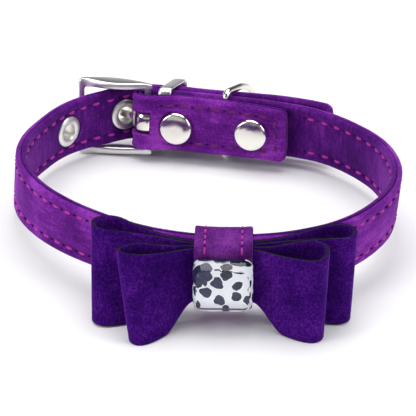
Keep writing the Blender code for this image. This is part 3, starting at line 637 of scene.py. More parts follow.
RING = NeckRing()
KNOT_PLACE = RING.place_of(KNOT_HEADING)
KNOT = RING.spot(KNOT_PLACE)
BAR = RING.spot(0.0)
BUCKLE = Spot(BAR.at(0, -FOLD_RADIUS, 0), -BAR.along, BAR.out, BAR.up)


def leg_gap(place):
    return LEG_GAP + (FOLD_GAP - LEG_GAP) * (1 - smooth(place / FOLD_TAPER))


def leg_point(place):
    return RING.spot(place).at(0, -(STRAP_THICK + leg_gap(place)), 0)


def run_point(place):
    start = RING.length - TAIL_RISE - TAIL_RISE_END
    return RING.spot(place).at(0, TAIL_OFFSET * smooth((place - start) / TAIL_RISE), 0)


def strap_spot(point_of, place):
    """The strap's own directions, following its own line."""
    reach = 0.0006
    up = RING.spot(place).up
    along = (point_of(place + reach) - point_of(place - reach)).normalized()
    return Spot(point_of(place), along, up.cross(along).normalized(), up)


# Mesh making
def added(name, data):
    thing = bpy.data.objects.new(name, data)
    bpy.context.collection.objects.link(thing)
    return thing


def mesh_data(mesh):
    data = bpy.data.meshes.new("piece")
    mesh.to_mesh(data)
    mesh.free()
    return data


def new_piece(name, data, materials, nodes=(), smooth_angle=None, body="collar"):
    """An object from a mesh in the collar's own frame, set down and riding on its body."""
    data.transform(SETTLE)
    piece = added(name, data)
    for material in materials:
        data.materials.append(material)
    data.shade_smooth()
    if smooth_angle is not None:
        data.set_sharp_from_angle(angle=math.radians(smooth_angle))
    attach(piece, body)
    if nodes:
        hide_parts(*nodes)
    return piece


def loft(rings, closed=False, marks=None, looks=None):
    """A mesh through rings of points. Marks are cloth places, one per point, with one more ring and
    column where it closes; looks give a material number for each column."""
    count = len(rings[0])
    turns = len(rings) if closed else len(rings) - 1
    points = [point for ring in rings for point in ring]
    faces = []
    places = []
    numbers = []
    for k in range(turns):
        after_k = (k + 1) % len(rings)
        for j in range(count):
            after = (j + 1) % count
            faces.append((k * count + j, k * count + after, after_k * count + after, after_k * count + j))
            numbers.append(looks[j] if looks else 0)
            if marks:
                places += [marks[k][j], marks[k][j + 1], marks[k + 1][j + 1], marks[k + 1][j]]
    if not closed:
        first = tuple(reversed(range(count)))
        last = tuple(range((len(rings) - 1) * count, len(rings) * count))
        for face in (first, last):
            faces.append(face)
            numbers.append(looks[0] if looks else 0)
            if marks:
                row = 0 if face is first else len(rings) - 1
                places += [marks[row][index % count] for index in face]
    data = bpy.data.meshes.new("piece")
    data.from_pydata(points, [], faces)
    data.polygons.foreach_set("material_index", numbers)
    if marks:
        layer = data.uv_layers.new(name="cloth")
        layer.data.foreach_set("uv", np.array(places, dtype=np.float32).ravel())
    mesh = bmesh.new()
    mesh.from_mesh(data)
    bmesh.ops.recalc_face_normals(mesh, faces=mesh.faces)
    mesh.to_mesh(data)
    mesh.free()
    return data


def gathered(meshes):
    """One mesh from several."""
    whole = bmesh.new()
    for data in meshes:
        whole.from_mesh(data)
        bpy.data.meshes.remove(data)
    return mesh_data(whole)


def turned(profile, spot, sides, closed=False):
    """A turned mesh about the spot's out direction, from rows of radius and out. It ends in flat
    faces, or closes on itself as a ring."""
    rings = [[spot.at(radius * c, out, radius * s) for c, s in circle(sides)] for radius, out in profile]
    return loft(rings, closed=closed)


def rod(spot, radius, half, sides):
    """A round bar about the spot's up direction."""
    upright = Spot(spot.origin, spot.along, spot.up, spot.out)
    return turned([(radius, -half), (radius, half)], upright, sides)


def with_cuts(data, cutters, operation="DIFFERENCE"):
    """The mesh with others cut from it, or joined to it."""
    thing = added("being_cut", data)
    tools = [added("cutter", cutter) for cutter in cutters]
    for tool in tools:
        modifier = thing.modifiers.new("cut", "BOOLEAN")
        modifier.operation = operation
        modifier.solver = "EXACT"
        modifier.object = tool
    bpy.context.view_layer.update()
    graph = bpy.context.evaluated_depsgraph_get()
    result = bpy.data.meshes.new_from_object(thing.evaluated_get(graph))
    for gone in [thing, *tools]:
        old = gone.data
        bpy.data.objects.remove(gone)
        bpy.data.meshes.remove(old)
    result.materials.clear()
    return result


def soft_square(steps, bluntness):
    """Positions from -1 to 1 round a rounded square, for bars with eased edges."""
    return [
        (math.copysign(abs(c) ** bluntness, c), math.copysign(abs(s) ** bluntness, s))
        for c, s in circle(steps, 180 / steps)
    ]


# Strap
def corner_steps():
    """Distances from a strap end, with the half width there."""
    rows = []
    for share in (0.0, 0.05, 0.15, 0.3, 0.5, 0.75, 1.0):
        inside = END_CORNER * (1 - share)
        drop = END_CORNER - math.sqrt(END_CORNER ** 2 - inside ** 2)
        rows.append((END_CORNER * share, STRAP_WIDTH / 2 - drop))
    return rows


def strap_stations():
    """Rows from the inner end to the tail tip: middle, up, half width, distance, and the place
    along the ring, or None round the fold."""
    full = STRAP_WIDTH / 2
    start = INNER_LEG + math.pi * FOLD_RADIUS
    tip = RING.length + TAIL_LENGTH
    leg = [(INNER_LEG - distance, half) for distance, half in corner_steps()]
    leg += [(place, full) for place in spaced(INNER_LEG - END_CORNER, 0.0, STATION_STEP)[1:]]
    run = [(place, full) for place in spaced(0.0, tip - END_CORNER, STATION_STEP)]
    run += [(tip - distance, half) for distance, half in reversed(corner_steps()[:-1])]
    rows = [(leg_point(place), RING.spot(place).up, half, INNER_LEG - place, place) for place, half in leg]
    for k in range(1, FOLD_TURNS):
        angle = math.pi * k / FOLD_TURNS
        middle = BAR.at(-FOLD_RADIUS * math.sin(angle), -FOLD_RADIUS - FOLD_RADIUS * math.cos(angle), 0)
        rows.append((middle, BAR.up, full, INNER_LEG + FOLD_RADIUS * angle, None))
    return rows + [
        (run_point(place), RING.spot(place).up, half, start + place, place) for place, half in run
    ]


def ply_outline(side, half):
    """Section of one ply, out and up, finer where the stitches pull it in."""
    near = SEAT_GAP / 2
    far = near + PLY_THICK
    rows = [(near, 0.0), (near, EDGE_SOFTEN - half), (near + EDGE_SOFTEN, -half)]
    for angle in range(-90, 1, 18):
        turn = math.radians(angle)
        out = far - EDGE_ROUND + EDGE_ROUND * math.cos(turn)
        rows.append((out, EDGE_ROUND - half + EDGE_ROUND * math.sin(turn)))
    for share in (-0.80, -0.75, -0.70, -0.665, -0.63, -0.58, -0.50, -0.33, -0.15):
        rows.append((far, share * half))
    rows.append((far, 0.0))
    rows += [(out, -up) for out, up in reversed(rows[1:-1])]
    return [(side * out, up) for out, up in rows]


def stitch_pull(place, up):
    """How far the surface is drawn in beside a stitch row."""
    phase = 0.5 if place is None else wave(place / STITCH_PITCH)
    off = (abs(up) - STITCH_ROW) / CHANNEL_WIDTH
    return CHANNEL_DEPTH * math.exp(-off * off) * (0.45 + 0.55 * phase)


def ply_mesh(side):
    """One ply of the strap, with the stitch rows drawn in and a little unevenness."""
    stations = strap_stations()
    rings = []
    marks = []
    for k, (middle, up, half, distance, place) in enumerate(stations):
        face = up.cross(ahead_of(stations, k)[0] - behind(stations, k)[0]).normalized()
        ring = []
        row = []
        for out, high in ply_outline(side, half):
            if abs(out) > SEAT_GAP / 2 + PLY_THICK / 2:
                waver = NAP_WAVER * ripple(1.3 + side, distance * 420, high * 600)
                out -= side * (stitch_pull(place, high) + abs(waver))
            ring.append(middle + face * out + up * high)
            row.append((distance, high))
        rings.append(ring)
        marks.append(row + [row[0]])
    return loft(rings, marks=marks)


def eyelet_places():
    first = RING.length - HOLE_TO_BAR - (EYELETS_BEFORE_BAR - 1) * EYELET_PITCH
    return [first + k * EYELET_PITCH for k in range(EYELET_COUNT)]


def eyelet_cutter(place):
    hole = EYELET_BARREL / 2 + SEAT_GAP
    seat = EYELET_FLANGE / 2 + SEAT_GAP
    face = HALF_STRAP - EYELET_SINK
    clear = HALF_STRAP + EYELET_ROOM
    profile = [(seat, -clear), (seat, -face), (hole, -face)]
    profile += [(radius, -out) for radius, out in reversed(profile)]
    return turned(profile, strap_spot(run_point, place), 48)


def rivet_spot(place, high):
    return RING.spot(place).moved(0, 0, high)


def rivet_levels(place):
    return -(STRAP_THICK + leg_gap(place) + HALF_STRAP), HALF_STRAP


def rivet_cutter(place, high):
    neck, outer = rivet_levels(place)
    hole = RIVET_POST / 2 + SEAT_GAP
    dome = RIVET_DOME / 2 + SEAT_GAP
    back = RIVET_BACK / 2 + SEAT_GAP
    clear = 4 * SEAT_GAP
    profile = [
        (dome, neck - clear), (dome, neck), (hole, neck), (hole, outer - RIVET_BACK_SINK),
        (back, outer - RIVET_BACK_SINK), (back, outer + SEAT_GAP),
    ]
    return turned(profile, rivet_spot(place, high), 48)


def slot_cutter():
    reach = FOLD_RADIUS + HALF_STRAP + SEAT_GAP / 2
    return rod(BAR.moved(0, -FOLD_RADIUS, 0), reach, SLOT_WIDTH / 2, 48)


def between_legs(place):
    return RING.spot(place).moved(0, -(HALF_STRAP + leg_gap(place) / 2), 0)


def groove_cutter():
    return rod(between_legs(RING_PLACE), RING_WIRE / 2 + SEAT_GAP, STRAP_WIDTH / 2 + 4 * SEAT_GAP, 24)


def keeper_cutter():
    spot = between_legs(KEEPER_PLACE)
    half = KEEPER_WIDTH / 2 + SEAT_GAP
    deep = KEEPER_THICK / 2 + SEAT_GAP
    tall = STRAP_WIDTH / 2 + 4 * SEAT_GAP
    corners = ((-deep, -tall), (deep, -tall), (deep, tall), (-deep, tall))
    return loft([[spot.at(along, out, up) for out, up in corners] for along in (-half, half)])


def make_strap():
    for name, side, slot, material, node in (
        ("strap_face_suede", 1, "suede_face", SUEDE_FACE, "strap_face_ply"),
        ("strap_lining_suede", -1, "suede_lining", SHADED_LINING_SUEDE, "strap_lining_ply"),
    ):
        cutters = [eyelet_cutter(place) for place in eyelet_places()]
        cutters += [rivet_cutter(place, high) for place, high in RIVET_ROWS]
        cutters += [slot_cutter(), groove_cutter(), keeper_cutter()]
        new_piece(name, with_cuts(ply_mesh(side), cutters), [material], [node], 42)


# Stitches
def stitch_mesh(spot, length, radius):
    """One stitch: a short arched thread whose ends go into the cloth. The spot's out is the
    surface's normal."""
    stations = 7
    sides = 8
    rings = []
    marks = []
    for k in range(stations):
        share = k / (stations - 1)
        swell = math.sin(math.pi * share)
        rise = 0.9 * radius * swell ** 0.7 - 0.55 * radius
        thin = radius * (0.62 + 0.38 * swell ** 0.5)
        ring = []
        for aside, high in circle(sides):
            ring.append(spot.at((share - 0.5) * length, rise + 0.85 * thin * high, thin * aside))
        rings.append(ring)
        marks.append([(share * 4.0, j / sides * 2.0) for j in range(sides + 1)])
    return loft(rings, marks=marks)


def face_spot(point_of, place, side):
    """A spot of the strap whose out points away from the neck, or towards it where side is -1."""
    spot = strap_spot(point_of, place)
    return Spot(spot.origin, spot.along * side, spot.out * side, spot.up)


def near_rivet(place, high):
    for rivet_place, rivet_high in RIVET_ROWS:
        if math.hypot(place - rivet_place, high - rivet_high) < RIVET_DOME / 2 + STITCH_LENGTH / 3:
            return True
    return False


def stitch_rows(point_of, start, stop, side):
    """Both stitch rows on one face, from one place along the strap to another, with dark marks between the
    stitches as painted shade in the needle holes."""
    meshes = []
    holes = []
    first = math.ceil(start / STITCH_PITCH - 0.5)
    last = math.floor(stop / STITCH_PITCH - 0.5)
    for step in range(first, last + 1):
        place = (step + 0.5) * STITCH_PITCH
        for high in (-STITCH_ROW, STITCH_ROW):
            if point_of is leg_point and near_rivet(place, high):
                continue
            spot = face_spot(point_of, place, side)
            seat = spot.moved(0, HALF_STRAP - CHANNEL_DEPTH * 0.8, high)
            meshes.append(stitch_mesh(seat, STITCH_LENGTH, STITCH_RADIUS))
            gap = spot.moved(STITCH_PITCH / 2, HALF_STRAP - CHANNEL_DEPTH * 0.6, high)
            holes.append(stitch_mesh(gap, HOLE_LENGTH, HOLE_RADIUS))
    return meshes, holes


def stitch_column(point_of, place, side):
    """The stitches across the strap near an end."""
    spot = face_spot(point_of, place, side)
    upward = Spot(spot.origin, spot.up, spot.out, spot.along)
    return [
        stitch_mesh(upward.moved(high, HALF_STRAP, 0), STITCH_LENGTH * 0.9, STITCH_RADIUS)
        for high in (-COLUMN_STEP, 0.0, COLUMN_STEP)
    ]


def make_stitches():
    tip = RING.length + TAIL_LENGTH
    outer, outer_holes = stitch_rows(run_point, TAIL_LENGTH + ROW_START, tip - STITCH_END, 1)
    neck, neck_holes = stitch_rows(run_point, INNER_LEG + ROW_START, RING.length - NECK_ROW_END, -1)
    leg, leg_holes = stitch_rows(leg_point, LEG_ROW_START, INNER_LEG - STITCH_END, -1)
    outer += stitch_column(run_point, tip - STITCH_END, 1)
    leg += stitch_column(leg_point, INNER_LEG - STITCH_END, -1)
    for name, meshes, material in (
        ("stitches_outer_face", outer, PINK_THREAD),
        ("stitches_neck_face", neck, PINK_THREAD),
        ("stitches_inner_leg", leg, SHADED_PINK_THREAD),
        ("needle_hole_shades", outer_holes + neck_holes + leg_holes, NEEDLE_HOLE_SHADE),
    ):
        new_piece(name, gathered(meshes), [material])


# Plated hardware
def make_eyelet(number, place):
    """A sleeve rolled over on both faces."""
    seat = HALF_STRAP - EYELET_SINK + SEAT_GAP
    bore = EYELET_BORE / 2
    flange = EYELET_FLANGE / 2
    middle = (bore + flange) / 2
    half = [(EYELET_BARREL / 2, seat), (flange - EYELET_TUCK, seat)]
    for k in range(13):
        angle = math.pi * k / 12
        radius = middle + (flange - middle) * math.cos(angle)
        half.append((radius, seat + EYELET_RIM * math.sin(angle) ** 0.6))
    half.append((bore - EYELET_BORE_TUCK, seat * 0.5))
    profile = half + [(radius, -out) for radius, out in reversed(half)]
    data = turned(profile, strap_spot(run_point, place), 64, closed=True)
    new_piece(f"eyelet_{number}_rolled", data, [EYELET_NICKEL], [f"eyelet_{number}"], 50)


def make_rivet(number, place, high):
    """A domed cap with a turned-under rim, its post, and a low cap outside."""
    neck, outer = rivet_levels(place)
    seat = neck - SEAT_GAP
    radius = RIVET_DOME / 2
    rim = RIVET_DOME_RISE / 4
    profile = []
    for k in range(1, 13):
        share = RIVET_CROWN * k / 12
        profile.append((radius * share, seat - RIVET_DOME_RISE + RIVET_CROWN_DROP * share ** 3))
    shoulder = RIVET_DOME_RISE - RIVET_CROWN_DROP * RIVET_CROWN ** 3
    for turn in range(12, 91, 13):
        aside = radius * (RIVET_CROWN + (1 - RIVET_CROWN) * math.sin(math.radians(turn)))
        profile.append((aside, seat - rim - (shoulder - rim) * math.cos(math.radians(turn))))
    profile += [(radius, seat - rim * 0.25), (radius - rim * 0.3, seat)]
    back_seat = outer - RIVET_BACK_SINK + SEAT_GAP
    top = back_seat + RIVET_BACK_THICK
    profile += [
        (RIVET_POST / 2, seat), (RIVET_POST / 2, back_seat), (RIVET_BACK / 2, back_seat),
        (RIVET_BACK / 2, top - 1.25 * RIVET_BACK_EDGE),
        (RIVET_BACK / 2 - RIVET_BACK_EDGE, top - 0.3 * RIVET_BACK_EDGE),
        (RIVET_BACK / 2 - 3 * RIVET_BACK_EDGE, top),
    ]
    data = turned(profile, rivet_spot(place, high), 72)
    new_piece(f"rivet_{number}_domed", data, [NICKEL], [f"rivet_{number}"], 40)


def frame_share(reach):
    return min(1.0, max(0.0, reach / FRAME_LENGTH))


def arch(reach):
    return FRAME_ARCH * math.sin(math.pi * frame_share(reach))


def frame_half(reach):
    return (FRAME_TALL_BAR + (FRAME_TALL_FRONT - FRAME_TALL_BAR) * frame_share(reach) ** FRAME_FLARE) / 2


def frame_outline(front, half_of, corner):
    """Reach and up positions of one arm, one front corner, and half of the front bar."""
    rows = []
    back = -(BAR_DIAMETER / 2 + SEAT_GAP)
    for reach in spaced(back, front - corner, (front - corner - back) / 24):
        rows.append((reach, half_of(reach)))
    tall = half_of(front)
    rows += arc(front - corner, tall - corner, corner, 90, -90, 8)[1:]
    rows += [(front, (tall - corner) * (1 - k / 12)) for k in range(1, 13)]
    return rows + [(reach, -up) for reach, up in reversed(rows[:-1])]


def make_buckle_frame():
    """An arched plate bent round its window, with the bar let into both arms."""
    window = STRAP_WIDTH / 2 + FRAME_SIDE_GAP
    inner = frame_outline(FRAME_LENGTH - FRAME_BAR_WIDTH / 2, lambda reach: window, FRAME_CORNER / 2)
    outer = frame_outline(FRAME_LENGTH + FRAME_BAR_WIDTH / 2, frame_half, FRAME_CORNER)
    section = soft_square(24, 0.42)
    rings = []
    for k, (near, far) in enumerate(zip(inner, outer)):
        end = min(k, len(inner) - 1 - k)
        ease = 1.0 if end > 2 else (0.72, 0.9, 0.98)[end]
        ring = []
        for across, high in section:
            reach, up = blend(near, far, 0.5 + 0.5 * across * ease)
            most = FRAME_UPPER_BELLY if up > 0 else FRAME_BELLY
            belly = most * math.sin(math.pi * frame_share(reach)) ** 1.5
            deep = FRAME_PLATE / 2 + belly * max(0.0, -high)
            ring.append(BUCKLE.at(reach, arch(reach) + high * ease * deep, up))
        rings.append(ring)
    bar = rod(BUCKLE, BAR_DIAMETER / 2, window + BAR_LET_IN, 28)
    data = with_cuts(loft(rings), [bar], "UNION")
    new_piece("buckle_frame_plated", data, [CAST_NICKEL], ["buckle_frame"], 45)


def curve_through(points, steps):
    ends = [2 * points[0] - points[1]] + points + [2 * points[-1] - points[-2]]
    line = []
    for k in range(len(points) - 1):
        for step in range(steps):
            line.append(between(*ends[k:k + 4], step / steps))
    return line + [points[-1]]


def prong_line():
    hole = strap_spot(run_point, RING.length - HOLE_TO_BAR)
    ring = BAR_DIAMETER / 2 + SEAT_GAP + PRONG_THICK / 2
    toward = (hole.origin - BUCKLE.origin).normalized()
    rest = FRAME_PLATE / 2 + SEAT_GAP + PRONG_THICK / 2
    leave = hole.origin + (hole.out + toward).normalized() * (HALF_STRAP + PRONG_RISE)
    tip = BUCKLE.at(FRAME_LENGTH + PRONG_OVERHANG, arch(FRAME_LENGTH) + rest, 0)
    over = BUCKLE.at(FRAME_LENGTH - FRAME_BAR_WIDTH / 2, arch(FRAME_LENGTH) + rest + PRONG_THICK / 3, 0)
    crest = (leave + over) / 2 + BUCKLE.out * PRONG_THICK
    halfway = (BUCKLE.origin + hole.origin) / 2
    return [BUCKLE.origin + toward * ring, halfway, hole.origin, leave, crest, over, tip]


def make_prong():
    """A flat tongue that ends in a sleeve round the bar."""
    inner = BAR_DIAMETER / 2 + SEAT_GAP
    half = PRONG_ROOT_WIDTH / 2
    upright = Spot(BUCKLE.origin, BUCKLE.along, BUCKLE.up, BUCKLE.out)
    profile = [(inner, half), (inner, -half)]
    for turn in range(-90, 91, 15):
        c, s = math.cos(math.radians(turn)), math.sin(math.radians(turn))
        thick = PRONG_ROOT_EDGE + (PRONG_ROOT_THICK - PRONG_ROOT_EDGE) * c ** 0.35
        profile.append((inner + thick, half * s))
    sleeve = turned(profile, upright, 48, closed=True)
    line = curve_through(prong_line(), 8)
    section = soft_square(16, 0.55)
    rings = []
    for k, middle in enumerate(line):
        out = BUCKLE.up.cross(ahead_of(line, k) - behind(line, k)).normalized()
        share = k / (len(line) - 1)
        taper = 1 - PRONG_TAPER * share ** 3
        if k > len(line) - 4:
            taper *= (0.97, 0.88, 0.66)[k - len(line) + 3]
        wide = PRONG_WIDTH / 2 * taper
        thick = PRONG_THICK / 2 * taper
        rings.append([middle + out * thick * a + BUCKLE.up * wide * b for a, b in section])
    data = with_cuts(sleeve, [loft(rings)], "UNION")
    new_piece("buckle_prong_plated", data, [NICKEL], ["buckle_prong"], 45)


def rounded_loop(low, high, half_up, corner, steps, fill=4):
    """Out and up positions round a rectangle with round corners."""
    top = half_up - corner
    corners = [
        arc(high - corner, top, corner, 0, 90, steps), arc(low + corner, top, corner, 90, 90, steps),
        arc(low + corner, -top, corner, 180, 90, steps), arc(high - corner, -top, corner, 270, 90, steps),
    ]
    rows = []
    for bend, following in zip(corners, corners[1:] + corners[:1]):
        rows += bend
        rows += [blend(bend[-1], following[0], k / fill) for k in range(1, fill)]
    return rows


def make_keeper():
    """A flat strip bent into a loop: bar between the legs, arms over both edges of the tail."""
    spot = between_legs(KEEPER_PLACE)
    half = KEEPER_WIDTH / 2
    high = HALF_STRAP + leg_gap(KEEPER_PLACE) / 2 + HALF_STRAP + TAIL_OFFSET + HALF_STRAP + KEEPER_ROOM
    low = KEEPER_THICK / 2
    tall = STRAP_WIDTH / 2 + KEEPER_SIDE_GAP
    inner = rounded_loop(low, high, tall, KEEPER_CORNER, 10)
    outer = rounded_loop(-low, high + KEEPER_THICK, tall + KEEPER_THICK, KEEPER_CORNER + KEEPER_THICK, 10)
    slope = math.tan(math.radians(KEEPER_LEAN))
    section = soft_square(20, 0.66)
    rings = []
    for near, far in zip(inner, outer):
        ring = []
        for wide, deep in section:
            out, up = blend(near, far, 0.5 + 0.5 * deep)
            ring.append(spot.at(half * wide + slope * max(0.0, out), out, up))
        rings.append(ring)
    new_piece("keeper_loop_plated", loft(rings, closed=True), [CAST_NICKEL], ["keeper_loop"])


def make_leash_ring():
    """A D-shaped wire ring on its straight bar, leaning the way it was left."""
    half = STRAP_WIDTH / 2 + RING_SIDE_GAP + RING_WIRE / 2
    path = arc(RING_CORNER, RING_CORNER - half, RING_CORNER, 180, 90, 10)
    path += arc(RING_DEPTH - half, 0.0, half, -90, 180, 56)
    path += arc(RING_CORNER, half - RING_CORNER, RING_CORNER, 90, 90, 10)
    spot = between_legs(RING_PLACE)
    lean = math.radians(RING_LEAN)
    leaned = Spot(
        spot.origin,
        spot.along * math.cos(lean) - spot.out * math.sin(lean),
        spot.out * math.cos(lean) + spot.along * math.sin(lean),
        spot.up,
    )
    rings = []
    for k, (out, up) in enumerate(path):
        travel = (Vector(path[(k + 1) % len(path)]) - Vector(path[k - 1])).normalized()
        ring = []
        for c, s in circle(18):
            reach = RING_WIRE / 2 * s
            ring.append(leaned.at(RING_WIRE / 2 * c, out - travel.y * reach, up + travel.x * reach))
        rings.append(ring)
    data = loft(rings, closed=True)
    new_piece("leash_ring_plated", data, [NICKEL], ["leash_ring"], body="leash_ring")


# Bow
def sag(across):
    """Depth of the strap's own line in the knot's frame, at a short distance to the side."""
    return (RING.spot(KNOT_PLACE - across).origin - KNOT.origin).dot(KNOT.out)


def strap_face_points():
    rows = []
    for place in spaced(KNOT_PLACE - REAR_SPAN, KNOT_PLACE + REAR_SPAN, STRAP_THICK / 3):
        spot = RING.spot(place)
        for edge in (-0.5, 0.5):
            point = spot.at(0, HALF_STRAP, STRAP_WIDTH * edge) - KNOT.origin
            rows.append((-point.dot(KNOT.along), point.dot(KNOT.out)))
    return rows


STRAP_FACE = strap_face_points()


def strap_front(across):
    return max(depth for side, depth in STRAP_FACE if abs(side - across) < STRAP_THICK / 2)


def ribbon_grid(rows, span, depth, leans, layer_middle, steps, across_rows):
    """Rows of points across the ribbon, round a whole closed loop on both sides of the knot."""
    half_span = span / 2
    half_band = BAND_WIDTH / 2
    yaw = math.tan(math.radians(BOW_YAW))
    wrap = (STRAP_WIDTH - SEAT_GAP) / 2
    right = [Vector(row) for row in rows]
    loop = right + [Vector((-row.x, row.y, row.z)) for row in reversed(right[1:])]
    closing = [loop[-1]] + loop + [loop[0], loop[1]]
    grid = []
    for k in range(len(loop)):
        for step in range(steps):
            across, layer, belly = between(*closing[k:k + 4], step / steps)
            across *= half_span
            reach = abs(across)
            side = math.copysign(1.0, across)
            forward, inward, drawn = leans[0] if across < 0 else leans[1]
            opened = smooth((reach - half_band) / (half_span * RIBBON_OPENING))
            spread = smooth((reach - half_band) / (half_span - half_band))
            beyond = across - max(-half_band, min(half_band, across))
            out = layer_middle + layer * RIBBON_PITCH / 2 + belly * depth
            out += sag(side * min(reach, half_band)) + yaw * beyond
            out = max(out, strap_front(across) + SEAT_GAP + RIBBON_THICK / 2)
            top = wrap + RIBBON_TOP_RISE * spread
            low = -wrap - (RIBBON_WIDTH - 2 * wrap - RIBBON_TOP_RISE) * opened
            line = []
            for row in range(across_rows):
                share = row / (across_rows - 1)
                place = across - side * inward * spread * share
                swell = RIBBON_SWELL * math.sin(math.pi * share) * spread * (1 if layer > 0 else 0)
                waver = RIBBON_WAVER * ripple(span * 900, across * 260, share * 5) * spread
                lean = (forward * share + drawn * (1 - share) * (1 - layer) / 2) * spread
                line.append(KNOT.at(-place, out + lean + swell + waver, top + (low - top) * share))
            grid.append(line)
    return grid


def ribbon_mesh(grid):
    """A velvet strip with its dark core showing along both cut edges."""
    count = len(grid)
    middle = len(grid[0]) // 2
    run = [0.0]
    for k in range(count):
        run.append(run[-1] + (grid[(k + 1) % count][middle] - grid[k][middle]).length)
    half = RIBBON_THICK / 2
    skin = 0.70 * half
    lip = RIBBON_LIP
    cut = ((skin, lip), (0.9 * skin, -lip / 5), (-0.9 * skin, -lip / 5), (-skin, lip))
    rings = []
    marks = []
    for k in range(count):
        face = []
        back = []
        rim = []
        for row, point in enumerate(grid[k]):
            travel = grid[(k + 1) % count][row] - grid[k - 1][row]
            across = grid[k][min(row + 1, len(grid[k]) - 1)] - grid[k][max(row - 1, 0)]
            normal = travel.cross(across).normalized()
            face.append(point + normal * half)
            back.append(point - normal * half)
            rim.append((point, normal, across.normalized()))
        edges = []
        for (point, normal, across), side in ((rim[-1], 1), (rim[0], -1)):
            edges.append([point + (normal * deep + across * wide) * side for deep, wide in cut])
        rings.append(face + edges[0] + back[::-1] + edges[1])
        highs = [row / (len(face) - 1) * RIBBON_WIDTH for row in range(len(face))]
        line = highs + [RIBBON_WIDTH] * 4 + highs[::-1] + [0.0] * 5
        marks.append([(run[k], high) for high in line])
    marks.append([(run[count], high) for _, high in marks[0]])
    looks = ([0] * len(grid[0]) + [1, 1, 1, 0]) * 2
    return loft(rings, closed=True, marks=marks, looks=looks), run[count]


def make_bow():
    rear_middle = HALF_STRAP + SEAT_GAP + RIBBON_PITCH - SEAT_GAP / 2
    front_middle = rear_middle + 2 * RIBBON_PITCH
    for name, node, rows, span, depth, leans, middle, rests in (
        ("bow_rear_velvet", "bow_rear_ribbon", REAR_LOOP_ROWS, REAR_SPAN, REAR_LOOP_DEPTH,
         REAR_LEANS, rear_middle, "strap_face_ply"),
        ("bow_front_velvet", "bow_front_ribbon", FRONT_LOOP_ROWS, FRONT_SPAN, FRONT_LOOP_DEPTH,
         FRONT_LEANS, front_middle, "bow_rear_ribbon"),
    ):
        grid = ribbon_grid(rows, span, depth, leans, middle, 10, 20)
        data, length = ribbon_mesh(grid)
        piece = new_piece(name, data, [VELVET, CORE], [node], 60)


# Knot band
def band_path():
    """Out and up positions of the band's two faces, with the distance along it."""
    low = -(HALF_STRAP + SEAT_GAP)
    tall = STRAP_WIDTH / 2 + SEAT_GAP
    inner = rounded_loop(low, STACK_FRONT, tall, BAND_CORNER - BAND_THICK, 8, 10)
    outer = rounded_loop(low - BAND_THICK, STACK_FRONT + BAND_THICK, tall + BAND_THICK, BAND_CORNER, 8, 10)
    run = [0.0]
    for (out_a, up_a), (out_b, up_b) in zip(outer, outer[1:] + outer[:1]):
        run.append(run[-1] + math.hypot(out_b - out_a, up_b - up_a))
    return inner, outer, run


def make_band():
    """A suede band round the strap and both ribbons, drawn in along its two stitch rows."""
    inner, outer, run = band_path()
    half = BAND_WIDTH / 2
    shares = [-1.0, -0.985, -0.94, -0.86, -0.76, -0.69, -0.635, -0.58, -0.51, -0.4, -0.2, 0.0]
    shares += [-share for share in reversed(shares[:-1])]
    places = [-half * share for share in shares] * 2
    places.append(places[0])
    rings = []
    for k, ((in_out, in_up), (out_out, out_up)) in enumerate(zip(inner, outer)):
        normal = Vector((out_out - in_out, out_up - in_up)).normalized()
        far = []
        near = []
        for share in shares:
            across = half * share
            rounding = max(0.0, abs(across) - (half - BAND_EDGE)) / BAND_EDGE
            drop = BAND_EDGE * (1 - math.sqrt(max(0.0, 1 - rounding * rounding)))
            off = (abs(across) - BAND_STITCH_ROW) / BAND_CHANNEL_WIDTH
            phase = 0.5 + 0.5 * wave(run[k] / BAND_STITCH_PITCH)
            shrink = drop + BAND_CHANNEL_DEPTH * math.exp(-off * off) * phase
            bowed = sag(across)
            far.append(KNOT.at(-across, out_out + bowed - normal.x * shrink, out_up - normal.y * shrink))
            near.append(KNOT.at(-across, in_out + bowed + normal.x * drop / 3, in_up + normal.y * drop / 3))
        rings.append(near + far[::-1])
    marks = [[(distance, place) for place in places] for distance in run]
    data = loft(rings, closed=True, marks=marks)
    new_piece("knot_band_suede", data, [BAND_SUEDE], ["knot_band"], 50)


def make_band_stitches():
    _, outer, run = band_path()
    outs, ups = zip(*outer, outer[0])

    def band_point(place):
        return Vector((np.interp(place, run, outs), np.interp(place, run, ups)))

    reach = 0.0004
    meshes = []
    holes = []
    for k in range(round(run[-1] / BAND_STITCH_PITCH)):
        place = (k + 0.5) * BAND_STITCH_PITCH
        out, up = band_point(place)
        step = band_point(place + reach) - band_point(place - reach)
        under_stone = out > STACK_FRONT and abs(up) < STONE_HEIGHT / 2 + STONE_CLEAR
        if under_stone or step.length < reach or place > run[-1] - BAND_STITCH_PITCH:
            continue
        step.normalize()
        travel = KNOT.out * step.x + KNOT.up * step.y
        away = KNOT.out * step.y - KNOT.up * step.x
        for across in (-BAND_STITCH_ROW, BAND_STITCH_ROW):
            origin = KNOT.at(-across, out + sag(across), up) - away * BAND_STITCH_SINK
            spot = Spot(origin, travel, away, travel.cross(away))
            meshes.append(stitch_mesh(spot, BAND_STITCH_LENGTH, BAND_STITCH_RADIUS))
            # A dark mark between stitches: painted shade in the needle hole.
            gap = spot.moved(BAND_STITCH_PITCH / 2, -BAND_HOLE_SINK, 0)
            holes.append(stitch_mesh(gap, HOLE_LENGTH, HOLE_RADIUS))
    for name, group, material in (
        ("knot_band_stitches", meshes, PINK_THREAD), ("knot_band_needle_hole_shades", holes, NEEDLE_HOLE_SHADE),
    ):
        new_piece(name, gathered(group), [material])


# Stone
def stone_outline(inset):
    """Along and up positions round the stone, drawn in by the inset."""
    half_along = STONE_WIDTH / 2 - inset
    corner = STONE_CORNER - inset * 0.5
    return rounded_loop(-half_along, half_along, STONE_HEIGHT / 2 - inset, corner, 8, 5)


